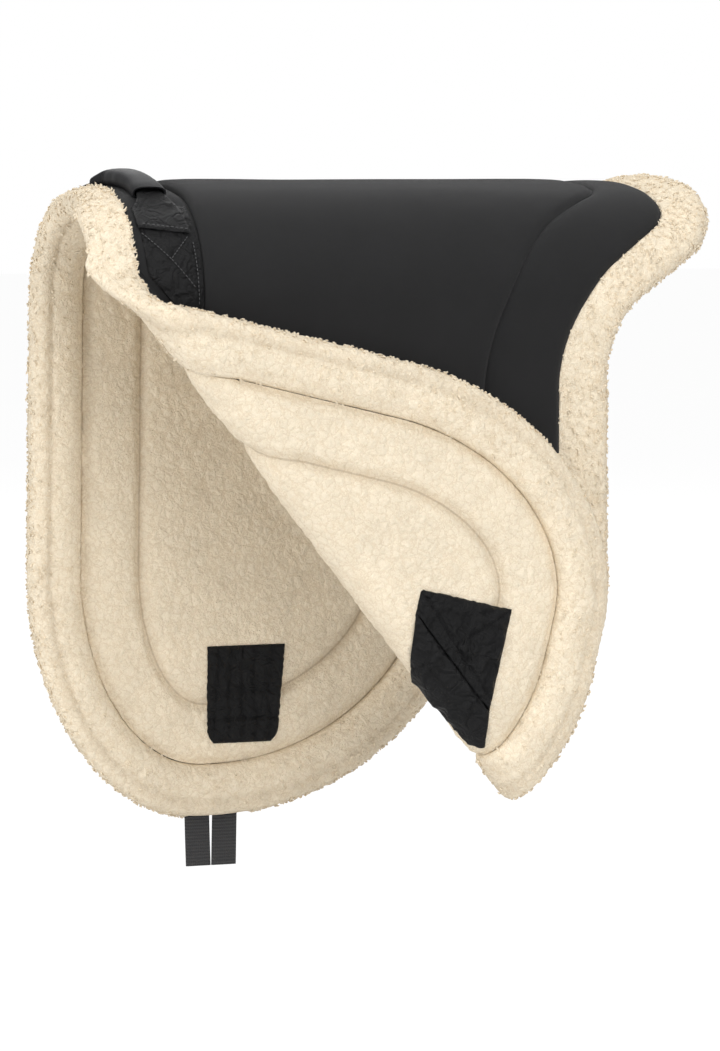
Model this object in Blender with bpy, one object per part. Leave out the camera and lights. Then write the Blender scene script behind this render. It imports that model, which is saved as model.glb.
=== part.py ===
"""Bareback pad: a quilted saddle pad of black fabric over foam, lined and edged with rolled fleece.

Every piece is cut flat, as a pattern piece with a thickness, and then wrapped over the horse's back.
In the flat pattern a runs along the back (+ to the tail), b across it (+ to the far side, 0 on the
ridge) and h through the pad (+ outwards, 0 halfway). In the world +X is to the tail, +Y the far side.
The near flap's lower front corner is turned out and up along a slanted fold.
All sizes are in millimetres until wrap() turns them into metres.
"""

from math import asin, cos, pi, radians, sin, tan

import bmesh
import bpy
import numpy as np
from mathutils import Vector

MM = 0.001
CLEARANCE = 0.3
HALF_GAP = CLEARANCE / 2
RIM_GAP = 0.8
SMALLEST_EDGE = 0.13

# The outline's corners in the flat pattern, from the pommel round the far flap to the cantle.
RIDGE_FRONT = -300.0
FAR_POMMEL = -304.0
FLAP_FRONT = -311.0
FLAP_REAR = 149.5
CANTLE_SIDE = 268.0
RIDGE_REAR = 266.0
POMMEL_DROP = 150.0
CANTLE_DROP = 134.0
WAIST_DROP = 216.0
FLAP_LENGTH = 687.0

# How far each rounded corner reaches along the edge before it and the edge after it. The near flap's
# hem is cut a little fuller than the far one's. A short part of each hem stays straight, and the second
# corner of the hem takes what is left of the flap's width.
POMMEL_REACH = (70.0, 60.0)
FLAP_WIDTH = FLAP_REAR - FLAP_FRONT
HEM_STRAIGHT = 8.5
NEAR_HEM_STRAIGHT = 35.5
FRONT_HEM_REACH = (240.0, 172.0)
REAR_HEM_REACH = (FLAP_WIDTH - FRONT_HEM_REACH[1] - HEM_STRAIGHT, 262.0)
NEAR_REAR_HEM_REACH = (240.0, 235.0)
NEAR_FRONT_HEM_REACH = (FLAP_WIDTH - NEAR_REAR_HEM_REACH[1] - NEAR_HEM_STRAIGHT, 240.0)
WAIST_REACH = (45.0, 45.0)
CANTLE_REACH = (34.0, 34.0)
RIDGE_REACH = (60.0, 60.0)
LEAST_REACH = 9.0
BEZIER_HANDLE = 0.5523
HEM_STEPS = 8
CORNER_STEPS = 4

# The arch over the back: a flat crown, two rounder shoulders and straight flaps.
CROWN_RADIUS = 360.0
CROWN_HALF_ARC = 72.0
SHOULDER_RADIUS = 90.0
CROWN_ROWS = 2
SHOULDER_ROWS = 9

# The slanted fold of the near flap: where its straight part starts and how steeply it falls.
FOLD_START = -271.5
FOLD_SLOPE = radians(51.8)
FOLD_RADIUS = 16.5
FOLD_ROWS = 10

# Heights through the pad.
LINING_FACE = -10.5
LINING_BACK = -2.0
FOAM_TOP = 8.0
COVER_THICKNESS = 2.2
SEAT_PUFF = 2.0
SEAM_DEPTH = 1.6
GROOVE_DEPTH = 2.6
LOW_FOAM_TOP = 3.0
RIM_INSIDE = -17.0
RIM_OUTSIDE = 12.5
LOW_RIM_OUTSIDE = 6.5
CANTLE_RISE = 4.0
NOSE_DEPTH = 14.0
NOSE_STEPS = 6
BACK_HEIGHT = -LINING_FACE

# Distances from the outline: front edge, hem, rear edge, waist edge, cantle edge.
RIM_WIDTH = 50.0
RIM_ON_LINING = (RIM_WIDTH,) * 5
RIM_ON_COVER = (13.0, 13.0, RIM_WIDTH, RIM_WIDTH, 45.0)
FOAM_EDGE = (75.0, 53.0, 53.0, 53.0, 53.0)
SEAT_SEAM = (72.0, 107.0, 123.5, 100.0, 94.0)
LINING_SEAM = (107.0,) * 5
POMMEL_REAR = -220.0
POMMEL_LOW_TO = 230.0
POMMEL_HIGH_FROM = 300.0
CANTLE_RISE_FROM = 200.0
CANTLE_RISE_TO = 248.0

# The grab handle over the pommel.
HANDLE_A = -268.0
SLEEVE_WIDTH = 28.0
SLEEVE_THICKNESS = 12.0
SLEEVE_HALF_LENGTH = 59.0
SLEEVE_MIDDLE = -25.0
SLEEVE_END_THICKNESS = 8.0
SLEEVE_SIDES = 16
FINGER_GAP = 7.6
WEBBING = 1.6
HANDLE_STRAP_WIDTH = 22.0
HANDLE_FOOT_FROM = 110.0
HANDLE_FOOT_TO = 138.0
HANDLE_FOOT_WIDTH = 46.0
TAB_FRONT = -286.5
TAB_REAR = -240.5
TAB_FROM = 100.0
TAB_TO = 205.0
TAB_ROUNDING = 14.0
TAB_THICKNESS = 1.5
TAB_TO_FOLD = 3.0

# The girth straps and their reinforcing patches, on both flaps.
STRAP_WIDTH = 25.0
STRAP_SPACING = 30.0
STRAP_MIDDLE = -122.5
STRAP_PIVOT_DROP = 640.0
STRAP_LENGTH = 92.0
STRAP_SWING_ROOM = 0.9
STRAP_OVERHANG = 9.0
ANCHOR_WIDTH = 62.0
ANCHOR_LENGTH = 52.0
ANCHOR_THICKNESS = 3.6
PATCH_THICKNESS = 1.5
PATCH_CHAMFER = 13.0
FAR_PATCH_FRONT = -135.0
FAR_PATCH_WIDTH = 78.0
FAR_PATCH_BOTTOM_WIDTH = 70.0
FAR_PATCH_DROP = 525.0
FAR_PATCH_LENGTH = 92.0
NEAR_PATCH_FRONT = -118.0
NEAR_PATCH_TOP_WIDTH = 66.0
NEAR_PATCH_BOTTOM_WIDTH = 120.0
NEAR_PATCH_DROP = 502.0
NEAR_PATCH_LENGTH = 90.0

# Colours, roughness.
BLACK_FABRIC = ((0.030, 0.030, 0.031), 0.85)
BLACK_PATCH = ((0.012, 0.012, 0.013), 0.9)
WEBBING_BLACK = ((0.014, 0.014, 0.015), 0.75)
GRIP_LEATHER = ((0.035, 0.035, 0.037), 0.45)
FOAM_GREY = ((0.30, 0.30, 0.29), 0.9)
FLEECE = ((0.80, 0.69, 0.52), 1.0)

# What follows from the sizes above.
CROWN_TURN = CROWN_HALF_ARC / CROWN_RADIUS
FLAP_START = CROWN_HALF_ARC + SHOULDER_RADIUS * (pi / 2 - CROWN_TURN)
HALF_WIDTH = CROWN_RADIUS * sin(CROWN_TURN) + SHOULDER_RADIUS * (1 - sin(CROWN_TURN))
SHOULDER_DROP = CROWN_RADIUS * (1 - cos(CROWN_TURN)) + SHOULDER_RADIUS * cos(CROWN_TURN)
FOLD_Z = BACK_HEIGHT - SHOULDER_DROP
FOLD_ARC = pi * FOLD_RADIUS
COVER_UNDER = FOAM_TOP + CLEARANCE
COVER_TOP = COVER_UNDER + COVER_THICKNESS
LOW_COVER_UNDER = LOW_FOAM_TOP + CLEARANCE
LOW_COVER_TOP = LOW_COVER_UNDER + COVER_THICKNESS
SLEEVE_HEIGHT = LOW_COVER_TOP + FINGER_GAP + SLEEVE_THICKNESS / 2
TAB_TOP = LOW_COVER_TOP + CLEARANCE + TAB_THICKNESS
ANCHOR_TOP = COVER_TOP + CLEARANCE + ANCHOR_THICKNESS
ALONG_FOLD = Vector((cos(FOLD_SLOPE), 0.0, -sin(FOLD_SLOPE)))
ACROSS_FOLD = Vector((-sin(FOLD_SLOPE), 0.0, -cos(FOLD_SLOPE)))
FOLD_PIVOT = Vector((FOLD_START, -HALF_WIDTH - FOLD_RADIUS, FOLD_Z)) * MM


def clear_scene():
    """Remove whatever the scene holds."""
    for obj in list(bpy.data.objects):
        bpy.data.objects.remove(obj, do_unlink=True)


def arch(points):
    """Flat points (a, b, h) laid over the back: a crown, a shoulder each side and a straight flap."""
    a, b, h = points.T
    drop = np.abs(b)
    crown = np.minimum(drop, CROWN_HALF_ARC) / CROWN_RADIUS
    turn = crown + np.clip(drop - CROWN_HALF_ARC, 0, FLAP_START - CROWN_HALF_ARC) / SHOULDER_RADIUS
    hang = np.maximum(drop - FLAP_START, 0)
    y = CROWN_RADIUS * np.sin(crown) + SHOULDER_RADIUS * (np.sin(turn) - np.sin(crown)) + h * np.sin(turn)
    fall = CROWN_RADIUS * (1 - np.cos(crown)) + SHOULDER_RADIUS * (np.cos(crown) - np.cos(turn)) + hang
    return np.stack([a, np.sign(b) * y, BACK_HEIGHT - fall + h * np.cos(turn)], 1)


def turn_corner(points):
    """The near flap past the fold line rolled round the fold and laid back over the flap."""
    x, y, z = points.T
    along = (x - FOLD_START) * ALONG_FOLD.x + (z - FOLD_Z) * ALONG_FOLD.z
    across = (x - FOLD_START) * ACROSS_FOLD.x + (z - FOLD_Z) * ACROSS_FOLD.z
    out = -y - HALF_WIDTH
    angle = np.clip(across, 0, FOLD_ARC) / FOLD_RADIUS
    reach = FOLD_RADIUS - out
    new_across = reach * np.sin(angle) - np.maximum(across - FOLD_ARC, 0)
    new_out = FOLD_RADIUS - reach * np.cos(angle)
    turned = np.stack([
        FOLD_START + along * ALONG_FOLD.x + new_across * ACROSS_FOLD.x,
        -HALF_WIDTH - new_out,
        FOLD_Z + along * ALONG_FOLD.z + new_across * ACROSS_FOLD.z,
    ], 1)
    moved = (across > 0) & (y < 0)
    return np.where(moved[:, None], turned, points)


def wrap(points):
    """Flat points in millimetres to world points in metres."""
    return turn_corner(arch(np.asarray(points, float).reshape(-1, 3))) * MM


def pommel_share(a, b):
    """1 where the pad is thin under the handle, 0 over the rest, with a smooth change between."""
    share = np.clip((POMMEL_HIGH_FROM - np.abs(b)) / (POMMEL_HIGH_FROM - POMMEL_LOW_TO), 0, 1)
    share = share * share * (3 - 2 * share)
    return np.where(a < POMMEL_REAR, share, 0)


def outline_corners():
    """(a, b, reach before, reach after, inset index of the edge after) round the whole pad."""
    far = [
        (FAR_POMMEL, POMMEL_DROP, *POMMEL_REACH, 0),
        (FLAP_FRONT, FLAP_LENGTH, *FRONT_HEM_REACH, 1),
        (FLAP_REAR, FLAP_LENGTH, *REAR_HEM_REACH, 2),
        (FLAP_REAR, WAIST_DROP, *WAIST_REACH, 3),
        (CANTLE_SIDE, CANTLE_DROP, *CANTLE_REACH, 4),
    ]
    edges_back = [4, 3, 2, 1, 0]
    near = [
        (a, -b, after, before, edge - 1)
        for (a, b, before, after, _), edge in zip(reversed(far), edges_back)
    ]
    near[2] = (FLAP_REAR, -FLAP_LENGTH, *NEAR_REAR_HEM_REACH, 1)
    near[3] = (FLAP_FRONT, -FLAP_LENGTH, *NEAR_FRONT_HEM_REACH, 0)
    near[4] = (FLAP_FRONT, -POMMEL_DROP, *reversed(POMMEL_REACH), 0)
    return far + [(RIDGE_REAR, 0.0, *RIDGE_REACH, 4)] + near + [(RIDGE_FRONT, 0.0, *RIDGE_REACH, 0)]


def loop(insets, extra=0.0):
    """The outline drawn in by an inset for each kind of edge, as (a, b) points in one fixed order."""
    corners = outline_corners()
    count = len(corners)
    spots = [Vector(corner[:2]) for corner in corners]
    depths = [insets[corner[4]] + extra for corner in corners]
    ways = [(spots[(i + 1) % count] - spots[i]).normalized() for i in range(count)]
    points = []
    for i, corner in enumerate(corners):
        before, after = ways[i - 1], ways[i]
        turn = asin(max(-1.0, min(1.0, before.x * after.y - before.y * after.x)))
        inward_before = Vector((before.y, -before.x))
        inward_after = Vector((after.y, -after.x))
        start = spots[i] + inward_before * depths[i - 1]
        end = spots[i] + inward_after * depths[i]
        if abs(turn) > radians(1):
            span = end - start
            spot = start + before * ((span.x * after.y - span.y * after.x) / sin(turn))
        else:
            spot = (start + end) / 2
        shrink = (depths[i - 1] + depths[i]) / 2 * tan(turn / 2)
        reach_in = max(corner[2] + shrink, LEAST_REACH)
        reach_out = max(corner[3] + shrink, LEAST_REACH)
        steps = HEM_STEPS if abs(corner[1]) == FLAP_LENGTH else CORNER_STEPS
        points += bezier_corner(spot, before * reach_in, after * reach_out, steps)
    return np.array(points)


def bezier_corner(spot, lead_in, lead_out, steps):
    """A rounded corner at spot that leaves its two edges lead_in before and lead_out after."""
    p0 = spot - lead_in
    p1 = p0 + lead_in * BEZIER_HANDLE
    p3 = spot + lead_out
    p2 = p3 - lead_out * BEZIER_HANDLE
    share = [step / steps for step in range(steps + 1)]
    return [
        p0 * (1 - t) ** 3 + p1 * (3 * t * (1 - t) ** 2) + p2 * (3 * t * t * (1 - t)) + p3 * t**3
        for t in share
    ]


def cantle_share(a):
    """1 on the cantle's raised rim, 0 over the rest, with a smooth change between."""
    share = np.clip((a - CANTLE_RISE_FROM) / (CANTLE_RISE_TO - CANTLE_RISE_FROM), 0, 1)
    return share * share * (3 - 2 * share)


def ring(flat, height, low_height=None):
    """A loop of (a, b) points at a height, which may be lower at the pommel."""
    low = height if low_height is None else low_height
    share = pommel_share(flat[:, 0], flat[:, 1])
    return np.column_stack([flat, height + (low - height) * share])


def loft(rings, closed=False):
    """A flat solid through rings with equal counts: capped at both ends, or closed on itself."""
    shape = bmesh.new()
    rows = [[shape.verts.new(point) for point in points] for points in rings]
    pairs = list(zip(rows, rows[1:]))
    if closed:
        pairs.append((rows[-1], rows[0]))
    else:
        shape.faces.new(rows[0])
        shape.faces.new(rows[-1])
    for first, second in pairs:
        for i in range(len(first)):
            shape.faces.new((first[i - 1], first[i], second[i], second[i - 1]))
    bmesh.ops.remove_doubles(shape, verts=shape.verts, dist=0.001)
    bmesh.ops.recalc_face_normals(shape, faces=shape.faces)
    return shape


def split(shape, spot, normal):
    """Cut every face along a plane and keep both sides."""
    everything = shape.verts[:] + shape.edges[:] + shape.faces[:]
    bmesh.ops.bisect_plane(shape, geom=everything, dist=1e-5, plane_co=spot, plane_no=normal)


def trim(shape, spot, normal):
    """Cut along a plane, drop the side that the normal points to and close the cut."""
    everything = shape.verts[:] + shape.edges[:] + shape.faces[:]
    bmesh.ops.bisect_plane(
        shape, geom=everything, dist=1e-5, plane_co=spot, plane_no=normal, clear_outer=True
    )
    open_edges = [edge for edge in shape.edges if edge.is_boundary]
    bmesh.ops.holes_fill(shape, edges=open_edges, sides=0)


def fold_plane(across):
    """Point and normal, in the flat pattern, of the line that lies this far past the fold's start."""
    normal = Vector((-sin(FOLD_SLOPE), -cos(FOLD_SLOPE), 0.0))
    return Vector((FOLD_START, -FLAP_START, 0.0)) + normal * across, normal


def split_rows(shape):
    """Cut a flat solid into the rows that bend over the crown and the shoulders."""
    rows = [CROWN_HALF_ARC * i / CROWN_ROWS for i in range(CROWN_ROWS + 1)]
    shoulder_step = (FLAP_START - CROWN_HALF_ARC) / SHOULDER_ROWS
    rows += [CROWN_HALF_ARC + shoulder_step * (i + 1) for i in range(SHOULDER_ROWS)]
    for drop in rows:
        for side in (-1, 1):
            split(shape, Vector((0, side * drop, 0)), Vector((0, 1, 0)))


def keep_fixed(shape):
    """The part of a flat solid that stays where the horse's back holds it."""
    spot, normal = fold_plane(-HALF_GAP)
    trim(shape, spot, normal)
    split_rows(shape)
    return shape


def keep_fold(shape):
    """The strip of a flat solid that goes round the fold, cut into rows to bend."""
    spot, normal = fold_plane(HALF_GAP)
    trim(shape, spot, -normal)
    spot, normal = fold_plane(FOLD_ARC - HALF_GAP)
    trim(shape, spot, normal)
    for i in range(1, FOLD_ROWS):
        spot, normal = fold_plane(FOLD_ARC * i / FOLD_ROWS)
        split(shape, spot, normal)
    split_rows(shape)
    return shape


def keep_corner(shape):
    """The part of a flat solid past the fold."""
    spot, normal = fold_plane(FOLD_ARC + HALF_GAP)
    trim(shape, spot, -normal)
    return shape


def keep_end(shape, front):
    """Of a strip that is cut in two by the pad's middle, the end at the front edge or at the hem."""
    seen = set()
    best = None
    for start in shape.verts:
        if start in seen:
            continue
        island, queue = set(), [start]
        while queue:
            vert = queue.pop()
            if vert in island:
                continue
            island.add(vert)
            queue += [edge.other_vert(vert) for edge in vert.link_edges]
        seen |= island
        middle = sum(vert.co.x for vert in island) / len(island)
        if best is None or (middle < best[0]) == front:
            best = (middle, island)
    rest = [vert for vert in shape.verts if vert not in best[1]]
    bmesh.ops.delete(shape, geom=rest, context="VERTS")
    return shape


def material(name, look):
    """A plain Principled material of one colour and roughness."""
    made = bpy.data.materials.new(name)
    made.use_nodes = True
    shader = made.node_tree.nodes["Principled BSDF"]
    shader.inputs["Base Color"].default_value = (*look[0], 1.0)
    shader.inputs["Roughness"].default_value = look[1]
    return made


def place(name, shape, look, pivot=None, flat=True, smooth_below=35):
    """Turn a solid into an object of its own, wrapped over the back, with its origin at the pivot."""
    bmesh.ops.remove_doubles(shape, verts=shape.verts, dist=SMALLEST_EDGE)
    bmesh.ops.dissolve_degenerate(shape, edges=shape.edges[:], dist=SMALLEST_EDGE / 2)
    bmesh.ops.triangulate(shape, faces=shape.faces[:])
    points = np.array([vert.co[:] for vert in shape.verts])
    world = wrap(points) if flat else points * MM
    origin = Vector(pivot) if pivot is not None else Vector((0, 0, 0))
    for vert, spot in zip(shape.verts, world):
        vert.co = Vector(spot) - origin
    bmesh.ops.recalc_face_normals(shape, faces=shape.faces)
    mesh = bpy.data.meshes.new(name)
    shape.to_mesh(mesh)
    shape.free()
    obj = bpy.data.objects.new(name, mesh)
    obj.location = origin
    mesh.materials.append(material(name, look))
    mesh.shade_smooth()
    mesh.set_sharp_from_angle(angle=radians(smooth_below))
    bpy.context.collection.objects.link(obj)
    return obj


def seam_heights():
    """How high the cover stands at a seam, over the flaps and under the handle."""
    return COVER_TOP - SEAM_DEPTH, LOW_COVER_TOP - SEAM_DEPTH


def mix(first, second, share):
    """A loop between two others."""
    return first + (second - first) * share


def rim_solid():
    """The rolled fleece rim: a round nose on the edge, wide on the lining and narrower on the cover."""
    edge = loop((0.0,) * 5)
    cover_side = loop(RIM_ON_COVER, -HALF_GAP)
    lining_side = loop(RIM_ON_LINING, -RIM_GAP / 2)
    middle = (RIM_OUTSIDE + RIM_INSIDE) / 2
    half = (RIM_OUTSIDE - RIM_INSIDE) / 2
    low_half = LOW_RIM_OUTSIDE - middle
    nose = []
    for i in range(NOSE_STEPS + 1):
        angle = pi / 2 - pi * i / NOSE_STEPS
        depth = 1 - cos(angle)
        upper = i <= NOSE_STEPS // 2
        target = cover_side if upper else lining_side
        inner = loop((min(NOSE_DEPTH, RIM_ON_COVER[0] - 1.0),) * 5) if upper else loop((NOSE_DEPTH,) * 5)
        flat = mix(edge, inner, depth)
        height = middle + half * sin(angle)
        low_height = middle + (low_half if upper else half) * sin(angle)
        line = ring(flat, height, low_height)
        if upper:
            line[:, 2] += CANTLE_RISE * sin(angle) * cantle_share(line[:, 0])
        nose.append(line)
    top_seam = ring(cover_side, *seam_heights())
    step_out = ring(cover_side, FOAM_TOP, LOW_FOAM_TOP)
    step_in = ring(lining_side, FOAM_TOP, LOW_FOAM_TOP)
    face_seam = ring(lining_side, LINING_FACE + SEAM_DEPTH)
    face_full = ring(mix(edge, lining_side, 0.62), RIM_INSIDE + 1.0)
    wall = ring(lining_side, LINING_BACK)
    return loft([top_seam] + nose + [face_full, face_seam, wall, step_in, step_out], closed=True)


def lining_solid():
    """The fleece lining, drawn in at the rim seam and along one quilting line."""
    edge = loop(RIM_ON_LINING, RIM_GAP / 2)
    rings = [ring(edge, LINING_BACK)]
    rings.append(ring(edge, LINING_FACE + SEAM_DEPTH))
    rings.append(ring(loop(RIM_ON_LINING, 7.0), LINING_FACE))
    rings.append(ring(loop(LINING_SEAM, -7.0), LINING_FACE))
    rings.append(ring(loop(LINING_SEAM), LINING_FACE + GROOVE_DEPTH))
    rings.append(ring(loop(LINING_SEAM, 7.0), LINING_FACE))
    return loft(rings)


def foam_solid():
    """The foam between cover and lining."""
    flat = loop(FOAM_EDGE)
    return loft([ring(flat, LINING_BACK + CLEARANCE), ring(flat, FOAM_TOP)])


def seat_solid():
    """The black seat panel, puffed up between its seams."""
    edge = loop(SEAT_SEAM, HALF_GAP)
    return loft([
        ring(edge, COVER_UNDER),
        ring(edge, COVER_TOP - SEAM_DEPTH),
        ring(loop(SEAT_SEAM, 4.0), COVER_TOP + SEAT_PUFF * 0.4),
        ring(loop(SEAT_SEAM, 14.0), COVER_TOP + SEAT_PUFF),
    ])


def border_solid():
    """The black quilted border between the rim and the seat panel, low under the handle."""
    outer = loop(RIM_ON_COVER, HALF_GAP)
    inner = loop(SEAT_SEAM, -HALF_GAP)
    return loft([
        ring(outer, COVER_UNDER, LOW_COVER_UNDER),
        ring(outer, *seam_heights()),
        ring(mix(outer, inner, 0.15), COVER_TOP, LOW_COVER_TOP),
        ring(mix(outer, inner, 0.85), COVER_TOP, LOW_COVER_TOP),
        ring(inner, *seam_heights()),
        ring(inner, COVER_UNDER, LOW_COVER_UNDER),
    ], closed=True)


def cover_solid():
    """Border and seat panel in one, for the strip round the fold and the corner past it."""
    outer = loop(RIM_ON_COVER, HALF_GAP)
    seam = loop(SEAT_SEAM)
    foam = loop(FOAM_EDGE, -CLEARANCE)
    return loft([
        ring(foam, COVER_UNDER),
        ring(foam, COVER_UNDER, LOW_COVER_UNDER),
        ring(outer, COVER_UNDER, LOW_COVER_UNDER),
        ring(outer, *seam_heights()),
        ring(mix(outer, seam, 0.15), COVER_TOP, LOW_COVER_TOP),
        ring(mix(outer, seam, 0.85), COVER_TOP, LOW_COVER_TOP),
        ring(seam, COVER_TOP - SEAM_DEPTH),
        ring(loop(SEAT_SEAM, 7.0), COVER_TOP),
    ])


def plate(corners, low, high):
    """A flat plate over a polygon of (a, b) corners."""
    flat = np.array(corners, float)
    return loft([np.column_stack([flat, np.full(len(flat), height)]) for height in (low, high)])


def build_pad():
    """The layers that stay on the back."""
    place("seat_panel", keep_fixed(seat_solid()), BLACK_FABRIC)
    place("border_cover", keep_fixed(border_solid()), BLACK_FABRIC)
    place("foam_core", keep_fixed(foam_solid()), FOAM_GREY)
    place("fleece_lining", keep_fixed(lining_solid()), FLEECE)
    place("fleece_rim", keep_fixed(rim_solid()), FLEECE)


def build_fold():
    """The strip of each layer that rolls round the fold."""
    place("fold_cover", keep_fold(cover_solid()), BLACK_FABRIC)
    place("fold_foam", keep_fold(foam_solid()), FOAM_GREY)
    place("fold_lining", keep_fold(lining_solid()), FLEECE)
    place("fold_rim_front", keep_end(keep_fold(rim_solid()), True), FLEECE)
    place("fold_rim_hem", keep_end(keep_fold(rim_solid()), False), FLEECE)


def build_corner():
    """The turned corner's layers, which swing about the fold."""
    place("corner_cover", keep_corner(cover_solid()), BLACK_FABRIC, FOLD_PIVOT)
    place("corner_foam", keep_corner(foam_solid()), FOAM_GREY, FOLD_PIVOT)
    place("corner_lining", keep_corner(lining_solid()), FLEECE, FOLD_PIVOT)
    place("corner_rim", keep_corner(rim_solid()), FLEECE, FOLD_PIVOT)


def cross_section(a, b, height, width, thickness):
    """The rectangle where a webbing strap crosses the line at b."""
    sides = ((-1, -1), (1, -1), (1, 1), (-1, 1))
    return [(a + x * width / 2, b, height + y * thickness / 2) for x, y in sides]


def sleeve_line(b):
    """Height of the handle's middle line: an arch that settles on the pommel at the sleeve's ends."""
    end = LOW_COVER_TOP + CLEARANCE * 2 + SLEEVE_END_THICKNESS / 2
    return SLEEVE_HEIGHT + (end - SLEEVE_HEIGHT) * ((b - SLEEVE_MIDDLE) / SLEEVE_HALF_LENGTH) ** 2


def sleeve_spots():
    """Where the sleeve's rings stand along the handle."""
    half = [SLEEVE_HALF_LENGTH * share for share in (0, 0.2, 0.4, 0.6, 0.8, 0.92, 1)]
    return [SLEEVE_MIDDLE - b for b in reversed(half[1:])] + [SLEEVE_MIDDLE + b for b in half]


def handle_strap_solid():
    """The grab handle's webbing: flat feet on the tabs, rising into the sleeve over the pommel."""
    foot = TAB_TOP + CLEARANCE + WEBBING / 2
    stations = [(b, sleeve_line(b), HANDLE_STRAP_WIDTH) for b in sleeve_spots()]
    for side in (-1, 1):
        leave = SLEEVE_MIDDLE + side * (SLEEVE_HALF_LENGTH + 2.0)
        half_way = (leave + side * HANDLE_FOOT_FROM) / 2
        stations += [
            (leave, sleeve_line(leave), HANDLE_STRAP_WIDTH),
            (half_way, (sleeve_line(leave) + foot) / 2, HANDLE_FOOT_WIDTH * 0.8),
            (side * HANDLE_FOOT_FROM, foot, HANDLE_FOOT_WIDTH),
            (side * HANDLE_FOOT_TO, foot, HANDLE_FOOT_WIDTH),
        ]
    stations.sort()
    return loft([cross_section(HANDLE_A, b, height, width, WEBBING) for b, height, width in stations])


def oval(b, half_width, half_height, squareness):
    """A ring round the handle's middle line, a plain oval or a squarer one."""
    turns = [2 * pi * i / SLEEVE_SIDES for i in range(SLEEVE_SIDES)]
    power = 2 / squareness
    middle = sleeve_line(b)
    return [
        (
            HANDLE_A + half_width * np.sign(cos(t)) * abs(cos(t)) ** power,
            b,
            middle + half_height * np.sign(sin(t)) * abs(sin(t)) ** power,
        )
        for t in turns
    ]


def sleeve_solid():
    """The padded leather sleeve, an oval tube that the webbing runs through."""
    stations = sleeve_spots()
    bore_width = HANDLE_STRAP_WIDTH / 2 + CLEARANCE * 4
    bore_height = WEBBING / 2 + CLEARANCE * 2
    outer = []
    for b in stations:
        share = ((b - SLEEVE_MIDDLE) / SLEEVE_HALF_LENGTH) ** 2
        thickness = SLEEVE_THICKNESS + (SLEEVE_END_THICKNESS - SLEEVE_THICKNESS) * share
        outer.append(oval(b, SLEEVE_WIDTH / 2, thickness / 2, 2.0))
    inner = [oval(b, bore_width, bore_height, 8.0) for b in reversed(stations)]
    return loft(outer + inner, closed=True)


def tab_solid(side):
    """The sewn tab that takes the handle's load down one side of the pommel."""
    corners = [
        (TAB_FRONT, TAB_FROM),
        (TAB_FRONT, TAB_TO - TAB_ROUNDING),
        (TAB_FRONT + TAB_ROUNDING * 0.3, TAB_TO - TAB_ROUNDING * 0.3),
        (TAB_FRONT + TAB_ROUNDING, TAB_TO),
        (TAB_REAR - TAB_ROUNDING, TAB_TO),
        (TAB_REAR - TAB_ROUNDING * 0.3, TAB_TO - TAB_ROUNDING * 0.3),
        (TAB_REAR, TAB_TO - TAB_ROUNDING),
        (TAB_REAR, TAB_FROM),
    ]
    low = LOW_COVER_TOP + CLEARANCE
    return plate([(a, side * b) for a, b in corners], low, TAB_TOP)


def build_handle():
    """Handle strap, sleeve and the two tabs, of which the near one stops short of the fold."""
    strap = handle_strap_solid()
    split_rows(strap)
    place("handle_strap", strap, WEBBING_BLACK)
    sleeve = sleeve_solid()
    split_rows(sleeve)
    place("handle_sleeve", sleeve, GRIP_LEATHER)
    far_tab = tab_solid(1)
    split_rows(far_tab)
    place("handle_tab_far", far_tab, BLACK_PATCH)
    near_tab = tab_solid(-1)
    spot, normal = fold_plane(-TAB_TO_FOLD)
    trim(near_tab, spot, normal)
    split_rows(near_tab)
    place("handle_tab_near", near_tab, BLACK_PATCH)


def inner_patch(front, top_width, bottom_width, drop, length, side):
    """A reinforcing patch on the lining, with its lower corners cut off."""
    rear = front + bottom_width
    bottom = drop + length
    corners = [
        (front, drop),
        (front, bottom - PATCH_CHAMFER),
        (front + PATCH_CHAMFER / 2, bottom),
        (rear - PATCH_CHAMFER / 2, bottom),
        (rear, bottom - PATCH_CHAMFER),
        (front + top_width, drop),
    ]
    high = LINING_FACE - CLEARANCE
    return plate([(a, side * b) for a, b in corners], high - PATCH_THICKNESS, high)


def anchor_solid(side):
    """The sewn block of webbing on the cover that both girth straps come out of."""
    low = STRAP_PIVOT_DROP - HALF_GAP - ANCHOR_LENGTH
    high = STRAP_PIVOT_DROP - HALF_GAP
    half = ANCHOR_WIDTH / 2
    corners = [(-half, low), (half, low), (half, high), (-half, high)]
    flat = [(STRAP_MIDDLE + a, side * b) for a, b in corners]
    return plate(flat, COVER_TOP + CLEARANCE, ANCHOR_TOP)


def build_far_girth():
    """Patch, anchor and two hanging straps of the far flap. Each strap swings out from its anchor."""
    patch = inner_patch(
        FAR_PATCH_FRONT, FAR_PATCH_WIDTH, FAR_PATCH_BOTTOM_WIDTH, FAR_PATCH_DROP, FAR_PATCH_LENGTH, 1
    )
    place("girth_patch_far", patch, BLACK_PATCH)
    place("girth_anchor_far", anchor_solid(1), WEBBING_BLACK)
    middle = ANCHOR_TOP - WEBBING / 2
    for name, shift in (("front", -0.5), ("rear", 0.5)):
        a = STRAP_MIDDLE + shift * STRAP_SPACING
        top = STRAP_PIVOT_DROP + STRAP_SWING_ROOM
        bottom = STRAP_PIVOT_DROP + STRAP_LENGTH
        half = STRAP_WIDTH / 2
        corners = [(a - half, top), (a + half, top), (a + half, bottom), (a - half, bottom)]
        pivot = wrap((a, STRAP_PIVOT_DROP, middle))[0]
        strap = plate(corners, middle - WEBBING / 2, middle + WEBBING / 2)
        place("girth_strap_far_" + name, strap, WEBBING_BLACK, pivot)


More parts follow.
